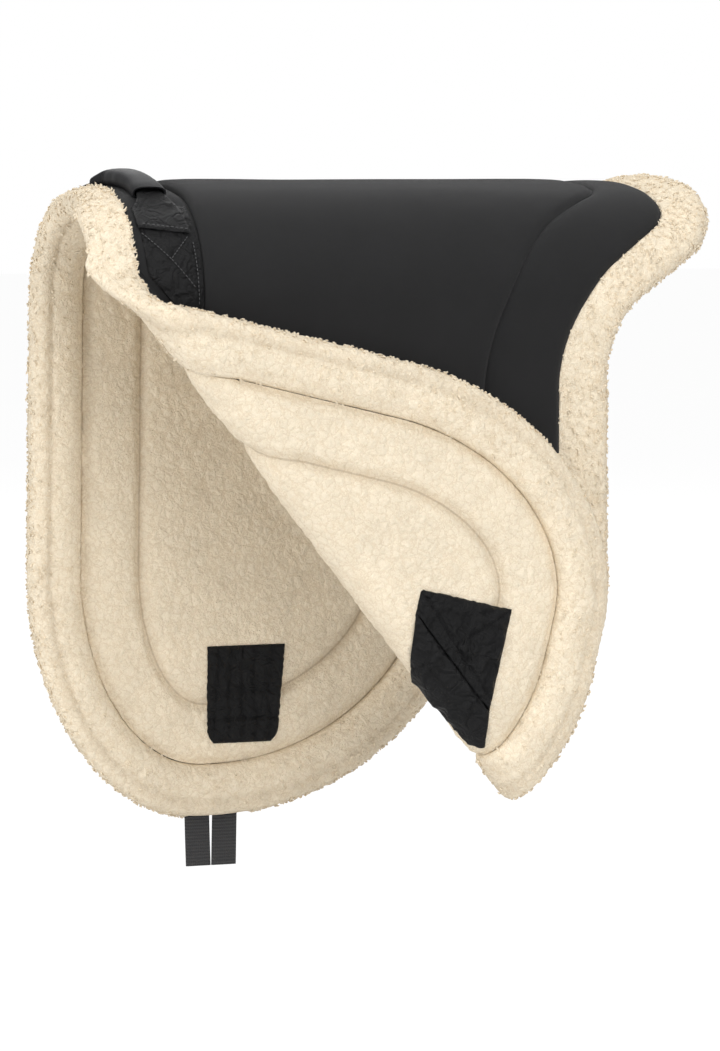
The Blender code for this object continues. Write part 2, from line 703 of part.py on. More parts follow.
def build_near_girth():
    """Patch, anchor and straps of the turned corner. The straps hang straight down in the fold."""
    def patch():
        return inner_patch(
            NEAR_PATCH_FRONT, NEAR_PATCH_TOP_WIDTH, NEAR_PATCH_BOTTOM_WIDTH,
            NEAR_PATCH_DROP, NEAR_PATCH_LENGTH, -1,
        )
    place("girth_patch_near", keep_corner(patch()), BLACK_PATCH, FOLD_PIVOT)
    place("fold_patch", keep_fold(patch()), BLACK_PATCH)
    place("girth_anchor_near", anchor_solid(-1), WEBBING_BLACK, FOLD_PIVOT)
    for layer, (name, shift) in enumerate((("rear", 0.5), ("front", -0.5))):
        lift = ANCHOR_TOP + CLEARANCE + layer * (WEBBING + CLEARANCE) + WEBBING / 2
        pivot = wrap((STRAP_MIDDLE + shift * STRAP_SPACING, -STRAP_PIVOT_DROP, lift))[0]
        x, y, z = pivot / MM
        rings = [
            [(x + i * STRAP_WIDTH / 2, y + k * WEBBING / 2, z + level) for i, k in
             ((-1, -1), (1, -1), (1, 1), (-1, 1))]
            for level in (STRAP_OVERHANG, -STRAP_LENGTH)
        ]
        place("girth_strap_near_" + name, loft(rings), WEBBING_BLACK, pivot, flat=False)


def main():
    clear_scene()
    build_pad()
    build_fold()
    build_corner()
    build_handle()
    build_far_girth()
    build_near_girth()


main()
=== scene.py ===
from math import asin, cos, pi, radians, sin, tan

import bpy
import numpy as np
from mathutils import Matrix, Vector


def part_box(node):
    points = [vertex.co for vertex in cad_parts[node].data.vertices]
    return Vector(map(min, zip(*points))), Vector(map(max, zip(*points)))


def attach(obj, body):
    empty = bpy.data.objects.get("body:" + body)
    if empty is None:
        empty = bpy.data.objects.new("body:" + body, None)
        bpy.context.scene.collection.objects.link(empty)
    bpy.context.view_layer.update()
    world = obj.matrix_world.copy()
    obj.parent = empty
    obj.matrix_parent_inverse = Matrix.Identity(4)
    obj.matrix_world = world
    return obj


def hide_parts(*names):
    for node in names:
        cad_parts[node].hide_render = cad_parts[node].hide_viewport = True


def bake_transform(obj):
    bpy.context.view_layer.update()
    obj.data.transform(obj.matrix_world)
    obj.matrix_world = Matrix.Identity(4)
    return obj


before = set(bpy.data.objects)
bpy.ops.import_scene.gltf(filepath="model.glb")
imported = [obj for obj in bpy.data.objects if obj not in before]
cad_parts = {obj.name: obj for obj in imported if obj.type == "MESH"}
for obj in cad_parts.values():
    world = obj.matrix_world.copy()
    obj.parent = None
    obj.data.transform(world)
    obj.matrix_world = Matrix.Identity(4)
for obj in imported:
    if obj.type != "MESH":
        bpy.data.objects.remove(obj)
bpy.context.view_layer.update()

# The pad is cut flat and wrapped over the back. In the flat pattern a runs to the tail, b to the far
# side and h outwards, all in mm. The world is in metres, +X to the tail, +Z up.
mm = 0.001

pattern = {
    "flapFront": -311.0, "farPommel": -304.0, "flapRear": 149.5, "ridgeFront": -300.0, "ridgeRear": 266.0,
    "cantleSide": 268.0, "pommelDrop": 150.0, "cantleDrop": 134.0, "waistDrop": 216.0, "flapLength": 687.0,
    "pommelReach": (70.0, 60.0), "frontHemReach": (240.0, 172.0), "rearHemReach": (280.0, 262.0),
    "nearRearHemReach": (240.0, 235.0), "nearFrontHemReach": (190.0, 240.0),
    "waistReach": (45.0, 45.0), "cantleReach": (34.0, 34.0), "ridgeReach": (60.0, 60.0),
}
arch = {"crownRadius": 360.0, "crownHalfArc": 72.0, "shoulderRadius": 90.0, "ridgeHeight": 10.5}
fold = {"start": -271.5, "slope": radians(51.8), "radius": 16.5, "lean": 31.0}
heights = {"liningFace": -10.5, "liningBack": -2.0, "foamTop": 8.0, "coverUnder": 8.3, "coverTop": 10.5,
           "lowFoamTop": 3.0, "lowCoverUnder": 3.3, "lowCoverTop": 5.5,
           "rimInside": -17.0, "rimOutside": 12.5, "lowRimOutside": 6.5}
rimOnLining = (50.0,) * 5  # distances from the outline: front, hem, rear, waist, cantle edge
rimOnCover = (13.0, 13.0, 50.0, 38.0, 48.0)
seatSeam = (72.0, 107.0, 123.5, 102.0, 96.0)
liningSeam = (107.0,) * 5
foamEdge = (75.0, 53.0, 53.0, 53.0, 53.0)
leastLead = {rimOnCover: 17.0, seatSeam: 19.0}  # how far the tightest corners of a line still reach

crownTurn = arch["crownHalfArc"] / arch["crownRadius"]
flapStart = arch["crownHalfArc"] + arch["shoulderRadius"] * (pi / 2 - crownTurn)
halfWidth = arch["crownRadius"] * sin(crownTurn) + arch["shoulderRadius"] * (1 - sin(crownTurn))
shoulderDrop = arch["crownRadius"] * (1 - cos(crownTurn)) + arch["shoulderRadius"] * cos(crownTurn)
foldZ = arch["ridgeHeight"] - shoulderDrop
foldArc = pi * fold["radius"]


def overTheBack(a, b, h):
    # Crown arc, then a tighter shoulder arc, then straight down: a point h outside the middle surface.
    drop = np.abs(b)
    crown = np.minimum(drop, arch["crownHalfArc"]) / arch["crownRadius"]
    shoulder = np.clip(drop - arch["crownHalfArc"], 0, flapStart - arch["crownHalfArc"])
    turn = crown + shoulder / arch["shoulderRadius"]
    y = arch["crownRadius"] * np.sin(crown) + arch["shoulderRadius"] * (np.sin(turn) - np.sin(crown))
    fall = arch["crownRadius"] * (1 - np.cos(crown)) + arch["shoulderRadius"] * (np.cos(crown) - np.cos(turn))
    fall = fall + np.maximum(drop - flapStart, 0)
    side = np.where(b < 0, -1.0, 1.0)
    return np.stack([a, side * (y + h * np.sin(turn)), arch["ridgeHeight"] - fall + h * np.cos(turn)], -1)


def roundTheFold(points):
    # Past the fold line the near flap goes half a turn round a slanted axis and lies back over itself.
    x, y, z = np.moveaxis(points, -1, 0)
    c, s = cos(fold["slope"]), sin(fold["slope"])
    along = (x - fold["start"]) * c - (z - foldZ) * s
    across = -(x - fold["start"]) * s - (z - foldZ) * c
    out = -y - halfWidth
    angle = np.clip(across, 0, foldArc) / fold["radius"]
    reach = fold["radius"] - out
    newAcross = reach * np.sin(angle) - np.maximum(across - foldArc, 0)
    newOut = fold["radius"] - reach * np.cos(angle)
    turned = np.stack([
        fold["start"] + along * c - newAcross * s,
        -halfWidth - newOut,
        foldZ - along * s - newAcross * c,
    ], -1)
    return np.where(((across > 0) & (y < 0))[..., None], turned, points)


def smoothShare(value, low, high):
    t = np.clip((value - low) / (high - low), 0, 1)
    return t * t * (3 - 2 * t)


def bell(value, width):
    # 1 at zero, fading away on both sides: e to the power of minus the squared share of the width.
    return np.exp(-((value / width) ** 2))


def onFlat(a, b):
    # Points of the flat pattern, for the noises.
    return np.stack([a, b, np.zeros_like(a)], -1)


def lengthAlong(line):
    # The length from a line's start to each of its points.
    return np.r_[0, np.cumsum(np.linalg.norm(np.diff(line, axis=0), axis=1))]


def leanForward(points, h):
    # Above the fold the near front edge already rolls outwards, so its lining side stands forward. The
    # lean fades out toward the far side, the rear, the fold below and the cover.
    x, y, z = np.moveaxis(points, -1, 0)
    share = smoothShare(-y, -10.0, 80.0) * smoothShare(-x, 238.0, 288.0) * smoothShare(z, -100.0, -46.0)
    return np.stack([x - fold["lean"] * share * smoothShare(12.0 - h, 0.0, 27.0), y, z], -1)


def wrap(a, b, h):
    return leanForward(roundTheFold(overTheBack(a, b, h)), h) * mm


def besidePommel(b):
    # 1 over the withers, fading out down each side.
    return 1 - smoothShare(np.abs(b), 230.0, 300.0)


def pommelShare(a, b):
    # 1 where the pad is thin under the handle.
    return np.where(a < -220.0, besidePommel(b), 0.0)


def cantleShare(a):
    # 1 at the tail end, where the rim stands higher.
    return smoothShare(a, 200.0, 248.0)


def edgeLoop(insets, extra=0.0, steps=40):
    # The outline drawn in by an inset for each kind of edge. Each corner is a cubic between its two edges.
    p = pattern
    far = [
        (p["farPommel"], p["pommelDrop"], *p["pommelReach"], 0),
        (p["flapFront"], p["flapLength"], *p["frontHemReach"], 1),
        (p["flapRear"], p["flapLength"], *p["rearHemReach"], 2),
        (p["flapRear"], p["waistDrop"], *p["waistReach"], 3),
        (p["cantleSide"], p["cantleDrop"], *p["cantleReach"], 4),
    ]
    nearEdges = (3, 2, 1, 0, 0)
    near = [(a, -b, after, before, edge) for (a, b, before, after, _), edge in zip(reversed(far), nearEdges)]
    near[2] = near[2][:2] + p["nearRearHemReach"] + (1,)
    near[3] = near[3][:2] + p["nearFrontHemReach"] + (0,)
    near[4] = (p["flapFront"],) + near[4][1:]
    ridge = [(p[end], 0.0, *p["ridgeReach"], edge) for end, edge in (("ridgeRear", 4), ("ridgeFront", 0))]
    corners = far + ridge[:1] + near + ridge[1:]
    count = len(corners)
    spots = [Vector(corner[:2]) for corner in corners]
    depths = [insets[corner[4]] + extra for corner in corners]
    ways = [(spots[(i + 1) % count] - spots[i]).normalized() for i in range(count)]
    share = np.linspace(0, 1, steps + 1)[:, None]
    least = leastLead.get(insets, 9.0)
    pieces = []
    for i, corner in enumerate(corners):
        before, after = ways[i - 1], ways[i]
        turn = asin(max(-1.0, min(1.0, before.x * after.y - before.y * after.x)))
        start = spots[i] + Vector((before.y, -before.x)) * depths[i - 1]
        end = spots[i] + Vector((after.y, -after.x)) * depths[i]
        spot = (start + end) / 2
        if abs(turn) > radians(1):
            span = end - start
            spot = start + before * ((span.x * after.y - span.y * after.x) / sin(turn))
        shrink = (depths[i - 1] + depths[i]) / 2 * tan(turn / 2)
        leadIn = before * max(corner[2] + shrink, least)
        leadOut = after * max(corner[3] + shrink, least)
        p0, p3 = np.array(spot - leadIn), np.array(spot + leadOut)
        p1, p2 = p0 + np.array(leadIn) * 0.5523, p3 - np.array(leadOut) * 0.5523
        pieces.append(p0 * (1 - share) ** 3 + p1 * 3 * share * (1 - share) ** 2
                      + p2 * 3 * share**2 * (1 - share) + p3 * share**3)
    return pieces


def closedLine(insets, extra=0.0, steps=40):
    points = np.vstack(edgeLoop(insets, extra, steps))
    return np.vstack([points, points[:1]])


def edgeSides(insets, extra=0.0):
    # The front edge and the rear edge as a over b, for a pattern read row by row across the back.
    corners = edgeLoop(insets, extra, 60)
    front = np.vstack(corners[9:] + corners[:2])
    rear = np.vstack(corners[2:9])[::-1]
    rowEnd = min(front[:, 1].max(), rear[:, 1].max())
    return front, rear, rowEnd


def foldLine(b, across):
    # Where a row of the near flap meets the line that lies this far past the fold's start.
    hang = -b - flapStart
    return fold["start"] + (hang * cos(fold["slope"]) - across) / sin(fold["slope"])


def acrossFold(a, b):
    # How far a point lies past the fold's start, square to the fold. The far side lies well before it.
    across = -(a - fold["start"]) * sin(fold["slope"]) + (-b - flapStart) * cos(fold["slope"])
    return np.where(b < 0, across, -500.0)


def rowSpots(low, high, step, hemEnds=(True, True)):
    # Even rows, drawn closer together in the last 40 mm before a hem.
    close = 40.0 * (np.arange(27) / 26.0) ** 2
    first = low + close if hemEnds[0] else np.array([low])
    last = high - close[::-1] if hemEnds[1] else np.array([high])
    count = max(2, int((last[0] - first[-1]) / step))
    middle = np.linspace(first[-1], last[0], count + 1)[1:-1]
    return np.concatenate([first, middle, last])


def fillRows(rows, start, end, columns):
    # A grid of flat points: each row runs evenly from its start to its end.
    share = np.linspace(0, 1, columns)
    return start[:, None] + (end - start)[:, None] * share, np.repeat(rows[:, None], columns, 1)


def region(insets, part, step, extra=0.0):
    # Rows across the back, each running from the front edge to the rear edge, cut off at the fold.
    front, rear, rowEnd = edgeSides(insets, extra)
    every = np.linspace(-rowEnd, rowEnd, 4001)
    frontA = np.interp(every, front[:, 1], front[:, 0])
    rearA = np.interp(every, rear[:, 1], rear[:, 0])
    near = every < 0
    if part == "fixed":
        frontA = np.where(near, np.maximum(frontA, foldLine(every, 0.0)), frontA)
    elif part == "fold":
        frontA = np.maximum(frontA, foldLine(every, foldArc))
        rearA = np.minimum(rearA, foldLine(every, 0.0))
    else:
        rearA = np.minimum(rearA, foldLine(every, foldArc))
    kept = every[(rearA - frontA > 0.6) & (near | (part == "fixed"))]
    low, high = kept.min(), kept.max()
    rows = rowSpots(low, high, step, (low < -rowEnd + 1, high > rowEnd - 1))
    start = np.interp(rows, every, frontA)
    end = np.interp(rows, every, rearA)
    return fillRows(rows, start, end, max(8, int((end - start).max() / step)) + 1)


def measureTo(line, step, flat, chosen, best):
    # Shortest distance from the chosen flat points to spots drawn along a line, a few thousand at a time.
    lengths = lengthAlong(line)
    at = np.linspace(0, lengths[-1], int(lengths[-1] / step))
    spots = np.stack([np.interp(at, lengths, line[:, k]) for k in (0, 1)], 1).astype(np.float32)
    for chunk in np.array_split(chosen, max(1, len(chosen) // 4000)):
        gap = flat[chunk, None, :].astype(np.float32) - spots[None]
        best[chunk] = np.sqrt((gap**2).sum(-1).min(1))


def distanceTo(a, b, line, most=60.0):
    # Shortest distance from each flat point to a drawn line, capped.
    flat = np.stack([np.ravel(a), np.ravel(b)], 1)
    best = np.empty(len(flat), np.float32)
    measureTo(line, 3.0, flat, np.arange(len(flat)), best)
    return np.minimum(best, most).reshape(np.shape(a))


def signedTo(a, b, line):
    # Distance to a closed line, refined near it, negative inside: crossings of a ray decide the side.
    best = distanceTo(a, b, line).ravel()
    flat = np.stack([np.ravel(a), np.ravel(b)], 1)
    measureTo(line, 0.8, flat, np.flatnonzero(best < 12.0), best)
    inside = np.zeros(len(flat), bool)
    x0, y0, x1, y1 = line[:-1, 0], line[:-1, 1], line[1:, 0], line[1:, 1]
    for chunk in np.array_split(np.arange(len(flat)), max(1, len(flat) // 20000)):
        x, y = flat[chunk, 0, None], flat[chunk, 1, None]
        spans = (y0 > y) != (y1 > y)
        meets = x0 + (x1 - x0) * (y - y0) / np.where(y1 == y0, 1e-9, y1 - y0)
        inside[chunk] = (spans & (x < meets)).sum(1) % 2 == 1
    return (best * np.where(inside, -1, 1)).reshape(np.shape(a))


def scatter(cell, salt):
    # A repeatable number from 0 to 1 for each whole-numbered cell.
    x, y, z = np.moveaxis(cell, -1, 0)
    mixed = np.sin(x * 127.1 + y * 311.7 + z * 74.7 + salt * 53.3) * 43758.5453
    return mixed - np.floor(mixed)


def curls(points, size, salt=0.0):
    # Distance to the nearest of points scattered one to a cell: 1 on a curl's top, 0 between curls.
    grid = points / size
    base = np.floor(grid)
    best = np.full(grid.shape[:-1], 9.0)
    for i in range(-1, 2):
        for j in range(-1, 2):
            for k in range(-1, 2):
                cell = base + np.array([i, j, k])
                spot = cell + np.stack([scatter(cell, salt + n) for n in range(3)], -1)
                best = np.minimum(best, ((grid - spot) ** 2).sum(-1))
    return np.clip(1 - np.sqrt(best), 0, 1)


def waves(points, size, salt=0.0):
    # Soft noise from -1 to 1: values at the corners of cells, blended with a smooth step.
    grid = points / size
    base = np.floor(grid)
    t = grid - base
    t = t * t * (3 - 2 * t)
    total = 0.0
    for i in (0, 1):
        for j in (0, 1):
            for k in (0, 1):
                corner = np.array([i, j, k])
                weight = np.prod(np.where(corner, t, 1 - t), -1)
                total = total + weight * scatter(base + corner, salt)
    return total * 2 - 1


def makeMesh(name, points, faces, look, uv=None, seam=None):
    # uv holds flat places in metres, and seam the attribute by which the fleece paints shade along sewn
    # lines.
    mesh = bpy.data.meshes.new(name)
    mesh.from_pydata(np.asarray(points).reshape(-1, 3), [], faces)
    mesh.update()
    mesh.shade_smooth()
    mesh.set_sharp_from_angle(angle=radians(68.0))
    if uv is not None:
        layer = mesh.uv_layers.new(name="flatPattern")
        index = np.empty(len(mesh.loops), np.int32)
        mesh.loops.foreach_get("vertex_index", index)
        layer.data.foreach_set("uv", np.asarray(uv, np.float32)[index].ravel())
    if seam is not None:
        layer = mesh.attributes.new("seam", "FLOAT", "POINT")
        layer.data.foreach_set("value", np.asarray(seam, np.float32).ravel())
    piece = bpy.data.objects.new(name, mesh)
    bpy.context.scene.collection.objects.link(piece)
    mesh.materials.append(look)
    return piece


def quadsOf(index):
    # Faces with four corners between neighbouring rows and columns of point numbers.
    return np.stack([index[:-1, :-1], index[:-1, 1:], index[1:, 1:], index[1:, :-1]], -1).reshape(-1, 4)


def ringFaces(rows, columns):
    # The same, with each row closed into a ring.
    index = np.arange(rows * columns).reshape(rows, columns)
    return quadsOf(np.hstack([index, index[:, :1]]))


def slab(name, a, b, low, high, look, coarse=6, seam=None):
    # A closed layer over a row grid: the fine face, a coarser back face, and walls at the edges.
    # coarse > 0 makes the high face coarse, coarse < 0 the low face.
    rows, columns = a.shape
    picked = np.unique(np.r_[np.arange(0, columns, abs(coarse)), columns - 1])
    fineH, backH = (low, high) if coarse > 0 else (high, low)
    fine = np.stack([a, b, fineH], -1)
    back = np.stack([a[:, picked], b[:, picked], backH[:, picked]], -1)
    flat = np.vstack([fine.reshape(-1, 3), back.reshape(-1, 3)])
    backStart = rows * columns
    fineIndex = np.arange(rows * columns).reshape(rows, columns)
    backIndex = backStart + np.arange(rows * len(picked)).reshape(rows, len(picked))
    flip = coarse > 0
    fineFaces, backFaces = quadsOf(fineIndex), quadsOf(backIndex)
    faces = [fineFaces, backFaces[:, ::-1]] if flip else [fineFaces[:, ::-1], backFaces]
    for column, backColumn, turned in ((0, 0, flip), (columns - 1, len(picked) - 1, not flip)):
        f, k = fineIndex[:, column], backIndex[:, backColumn]
        wall = np.stack([f[:-1], f[1:], k[1:], k[:-1]], -1)
        faces.append(wall if turned else wall[:, ::-1])
    faces = [face for group in faces for face in group.tolist()]
    for row, turned in ((0, not flip), (rows - 1, flip)):
        for i in range(len(picked) - 1):
            face = fineIndex[row, picked[i]:picked[i + 1] + 1].tolist() + backIndex[row, [i + 1, i]].tolist()
            faces.append(face if turned else face[::-1])
    world = wrap(flat[:, 0], flat[:, 1], flat[:, 2])
    if seam is not None:
        seam = np.concatenate([seam.ravel(), seam[:, picked].ravel()])
    return makeMesh(name, world, faces, look, flat[:, :2] * mm, seam)


# Materials.


def newLook(name, color, roughness, sheen=0.0, specular=0.5):
    look = bpy.data.materials.new(name)
    look.use_nodes = True
    shader = look.node_tree.nodes["Principled BSDF"]
    shader.inputs["Base Color"].default_value = (*color, 1.0)
    shader.inputs["Roughness"].default_value = roughness
    shader.inputs["Sheen Weight"].default_value = sheen
    shader.inputs["Sheen Roughness"].default_value = 0.6
    shader.inputs["Specular IOR Level"].default_value = specular
    return look, look.node_tree, shader


def feed(tree, socket, value):
    # An input takes a plain value or a link from another node.
    if isinstance(value, bpy.types.NodeSocket):
        tree.links.new(value, socket)
    else:
        socket.default_value = value


def addNode(tree, kind, *inputs, **values):
    # By name come settings of the node and values for its inputs, without a name its inputs in their order.
    node = tree.nodes.new(kind)
    for key, value in values.items():
        if key in node.inputs:
            feed(tree, node.inputs[key], value)
        else:
            setattr(node, key, value)
    for socket, value in zip(node.inputs, inputs):
        feed(tree, socket, value)
    return node


def maths(tree, operation, *inputs):
    return addNode(tree, "ShaderNodeMath", *inputs, operation=operation).outputs["Value"]


def mapRange(tree, source, low, high, toLow, toHigh, way="SMOOTHSTEP"):
    return addNode(tree, "ShaderNodeMapRange", source, low, high, toLow, toHigh,
                   interpolation_type=way).outputs["Result"]


def noise(tree, spot, scale, detail, rough=0.5, output="Fac", **more):
    return addNode(tree, "ShaderNodeTexNoise", Vector=spot, Scale=scale, Detail=detail,
                   Roughness=rough, **more).outputs[output]


def cells(tree, spot, scale, feature="DISTANCE_TO_EDGE"):
    node = addNode(tree, "ShaderNodeTexVoronoi", feature=feature, Vector=spot, Scale=scale)
    return node.outputs["Distance"]


def bands(tree, spot, scale, bend, way):
    return addNode(tree, "ShaderNodeTexWave", Vector=spot, Scale=scale, Distortion=bend,
                   bands_direction=way).outputs["Fac"]


def mixColor(tree, share, first, second):
    mix = addNode(tree, "ShaderNodeMix", data_type="RGBA", Factor=share)
    for name, color in (("A", first), ("B", second)):
        feed(tree, mix.inputs[name], (*color, 1) if isinstance(color, tuple) else color)
    return mix.outputs["Result"]


def addBump(tree, height, strength, distance, target):
    # Returns the bump's own normal input, for a second bump under it.
    bump = addNode(tree, "ShaderNodeBump", Height=height, Strength=strength, Distance=distance)
    tree.links.new(bump.outputs["Normal"], target)
    return bump.inputs["Normal"]


def objectSpot(tree):
    return addNode(tree, "ShaderNodeTexCoord").outputs["Object"]


# The crevice colour is painted shade between the curls, and the seam colour painted shade along sewn lines.
fleeceLook = {"light": (0.93, 0.83, 0.665), "middle": (0.875, 0.762, 0.585), "creviceShade": (0.60, 0.455, 0.29),
              "seam": (0.36, 0.255, 0.15), "curl": 118.0, "smallCurl": 118.0 * 2.3, "lump": 30.0,
              "bump": 0.0018, "warp": 0.013, "creviceShadeLarge": 0.44, "creviceShadeSmall": 0.30}


def makeFleece():
    # Curls are warped cells, pale on top with thin faint crevices of painted shade between, over finer cells
    # and fibres. The attribute "seam" holds 100 plus the distance in mm from a sewn line, where the nap parts
    # and painted shade darkens the fleece.
    shape = fleeceLook
    look, tree, shader = newLook("fleece", shape["middle"], 1.0, 0.0, 0.04)
    spot = objectSpot(tree)
    warp = noise(tree, spot, 150.0, 4.0, 0.65, "Color")
    bend = addNode(tree, "ShaderNodeVectorMath", warp, (shape["warp"],) * 3, spot, operation="MULTIPLY_ADD")
    edges = []
    for scale, thin in ((shape["curl"], 0.10), (shape["smallCurl"], 0.16)):
        cell = cells(tree, bend.outputs["Vector"], scale)
        edges.append([mapRange(tree, cell, 0.0, wide, 0.0, 1.0) for wide in (thin, 0.42)])
    (largeThin, largeBroad), (smallThin, smallBroad) = edges
    faint = mapRange(tree, noise(tree, spot, 70.0, 2.0), 0.42, 0.62, 0.15, 0.85)
    fine = noise(tree, spot, 820.0, 3.0, 0.7)
    lump = noise(tree, spot, shape["lump"], 4.0, 0.6)
    # How deep in a crevice a point is, for the painted crevice shade: thin lines of the large cells, here and
    # there also of the small ones.
    large = maths(tree, "MULTIPLY", maths(tree, "SUBTRACT", 1.0, largeThin), shape["creviceShadeLarge"])
    small = maths(tree, "MULTIPLY", maths(tree, "SUBTRACT", 1.0, smallThin), faint)
    deep = maths(tree, "MAXIMUM", large, maths(tree, "MULTIPLY", small, shape["creviceShadeSmall"]))
    body = mixColor(tree, mapRange(tree, fine, 0.35, 0.68, 0.0, 1.0), shape["middle"], shape["light"])
    # Painted shade in the crevices between curls.
    creviceShaded = mixColor(tree, deep, body, shape["creviceShade"])
    mark = addNode(tree, "ShaderNodeAttribute", attribute_name="seam").outputs["Fac"]
    away = maths(tree, "ABSOLUTE", maths(tree, "SUBTRACT", mark, 100.0))
    # Painted shade along a sewn line: a thin dark line close to it and a soft darker band up to 12 mm out.
    line = mapRange(tree, away, 0.3, 1.8, 0.5, 0.0)
    soft = mapRange(tree, away, 0.0, 12.0, 0.17, 0.0)
    sewn = mixColor(tree, maths(tree, "MAXIMUM", line, soft), creviceShaded, shape["seam"])
    swell = mapRange(tree, lump, 0.3, 0.7, 0.96, 1.03)
    tint = addNode(tree, "ShaderNodeVectorMath", sewn, operation="SCALE", Scale=swell)
    tree.links.new(tint.outputs["Vector"], shader.inputs["Base Color"])
    height = maths(tree, "MULTIPLY_ADD", smallBroad, 0.35, largeBroad)
    height = maths(tree, "MULTIPLY_ADD", fine, 0.45, height)
    addBump(tree, height, 0.6, shape["bump"], shader.inputs["Normal"])
    return look


def makeCloth(name, color, roughness, weave, depth, mottle, sheen, specular, crumple=0.0):
    # Plain weave on the flat pattern's own coordinates: crossed waves, with a slow mottle in the colour.
    look, tree, shader = newLook(name, color, roughness, sheen, specular)
    spot = addNode(tree, "ShaderNodeUVMap", uv_map="flatPattern").outputs["UV"]
    both = maths(tree, "ADD", bands(tree, spot, weave, 0.6, "X"), bands(tree, spot, weave, 0.6, "Y"))
    place = objectSpot(tree)
    slow = mapRange(tree, noise(tree, place, 22.0, 4.0, 0.6), 0.3, 0.7, 1 - mottle, 1 + mottle, "LINEAR")
    shade = maths(tree, "MULTIPLY_ADD", both, 0.14, slow)
    dim = tuple(channel * 0.88 for channel in color)
    tint = addNode(tree, "ShaderNodeVectorMath", dim, operation="SCALE", Scale=shade)
    tree.links.new(tint.outputs["Vector"], shader.inputs["Base Color"])
    under = addBump(tree, both, 0.5, depth, shader.inputs["Normal"])
    if crumple:
        # Creases: the sharp troughs of a noise that is folded about its middle value.
        folds = maths(tree, "SUBTRACT", noise(tree, place, 75.0, 2.0, 0.45, Distortion=0.6), 0.5)
        addBump(tree, maths(tree, "ABSOLUTE", folds), 0.9, crumple, under)
    return look


fabricLook = {"seat": (0.0105, 0.0105, 0.011), "patch": (0.0048, 0.0048, 0.0051),
              "webbing": (0.012, 0.012, 0.013), "webbingLow": (0.006, 0.006, 0.007),
              "webbingHigh": (0.026, 0.026, 0.028),
              "grip": (0.010, 0.010, 0.011), "foam": (0.30, 0.30, 0.29), "thread": (0.05, 0.05, 0.052)}


def makeWebbing():
    # Ribs across the strap, from the strap's own coordinates: x over the width, y along it.
    look, tree, shader = newLook("webbing", fabricLook["webbing"], 0.6, 0.1, 0.4)
    spot = addNode(tree, "ShaderNodeUVMap", uv_map="flatPattern").outputs["UV"]
    rib = bands(tree, spot, 100.0, 0.0, "Y")
    both = maths(tree, "MULTIPLY_ADD", bands(tree, spot, 170.0, 0.4, "X"), 0.45, rib)
    ramp = addNode(tree, "ShaderNodeValToRGB", both)
    low, high = ramp.color_ramp.elements
    low.color = (*fabricLook["webbingLow"], 1)
    high.position = 1.0
    high.color = (*fabricLook["webbingHigh"], 1)
    tree.links.new(ramp.outputs["Color"], shader.inputs["Base Color"])
    addBump(tree, both, 0.8, 0.0006, shader.inputs["Normal"])
    return look


def makeGrip():
    # Fine leather grain, slightly shinier in patches.
    look, tree, shader = newLook("gripLeather", fabricLook["grip"], 0.6, 0.0, 0.11)
    spot = objectSpot(tree)
    rough = mapRange(tree, noise(tree, spot, 60.0, 3.0), 0.0, 1.0, 0.5, 0.66, "LINEAR")
    tree.links.new(rough, shader.inputs["Roughness"])
    addBump(tree, cells(tree, spot, 900.0), 0.35, 0.0004, shader.inputs["Normal"])
    return look


def makeFoam():
    # Open cells as bump.
    look, tree, shader = newLook("foam", fabricLook["foam"], 0.95)
    addBump(tree, cells(tree, objectSpot(tree), 700.0, "F1"), 0.6, 0.0006, shader.inputs["Normal"])
    return look


fleece = makeFleece()
seatCloth = makeCloth("blackFabric", fabricLook["seat"], 0.9, 700.0, 0.0002, 0.1, 0.05, 0.22)
patchCloth = makeCloth("blackPatch", fabricLook["patch"], 0.5, 420.0, 0.0004, 0.2, 0.0, 0.16, 0.012)
webbing = makeWebbing()
grip = makeGrip()
foam = makeFoam()
thread = newLook("thread", fabricLook["thread"], 0.5)[0]
print("materials made")


# The fleece lining.

liningShape = {"step": 2.7, "pile": 2.4, "curl": 6.5, "grooveDepth": 5.0, "grooveWidth": 5.0, "puff": 2.0,
               "puffReach": 30.0, "seamDip": 4.5, "seamDipWidth": 6.0, "underPatch": -11.0}


def joinBody(piece, part):
    if part == "fixed":
        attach(piece, "pad")
    elif part == "corner":
        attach(piece, "turned_corner")
    else:
        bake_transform(piece)


def pile(flat, size, amount):
    # Curly nap: rounded curls of two sizes over a slow swell.
    large, small = curls(flat, size), curls(flat, size * 0.55, 4.0)
    return amount * (large * 0.75 + small * 0.35 + waves(flat, 26.0, 9.0) * 0.25)


patchShape = {
    "far": {"front": -135.0, "top": 78.0, "bottom": 70.0, "drop": 525.0, "length": 92.0},
    "near": {"front": -118.0, "top": 66.0, "bottom": 120.0, "drop": 502.0, "length": 90.0},
}
patchSlope = 1.1  # how steeply the near patch's ends run down the fold


def patchEdges(b):
    # Front and rear edge of the patch on a row's own side.
    far, near = patchShape["far"], patchShape["near"]
    side = {key: np.where(b > 0, far[key], near[key]) for key in far}
    share = (np.abs(b) - side["drop"]) / side["length"]
    chamfer = 13.0 * np.clip((share - 0.86) / 0.14, 0, 1) ** 2 * (b > 0)
    rear = side["front"] + side["top"] + (side["bottom"] - side["top"]) * np.clip(share, 0, 1)
    return side["front"] + chamfer * 0.5, rear - chamfer * 0.5


def patchSlant(a, b):
    # On the fold the near patch's two ends run down the flap, so that they look straight from outside.
    return np.where(b < 0, np.clip(foldArc - acrossFold(a, b), 0.0, foldArc) / patchSlope, 0.0)


def underPatch(a, b):
    # 1 under a patch, where it presses the nap flat: a smooth step in from each of its four edges.
    front, rear = patchEdges(b)
    side = np.where(b > 0, patchShape["far"]["drop"], patchShape["near"]["drop"]) + patchSlant(a, b)
    length = np.where(b > 0, patchShape["far"]["length"], patchShape["near"]["length"])
    inside = smoothShare(np.minimum(a - front, rear - a), -0.5, 2.0)
    return inside * smoothShare(np.minimum(np.abs(b) - side, side + length - np.abs(b)), -0.5, 2.0)


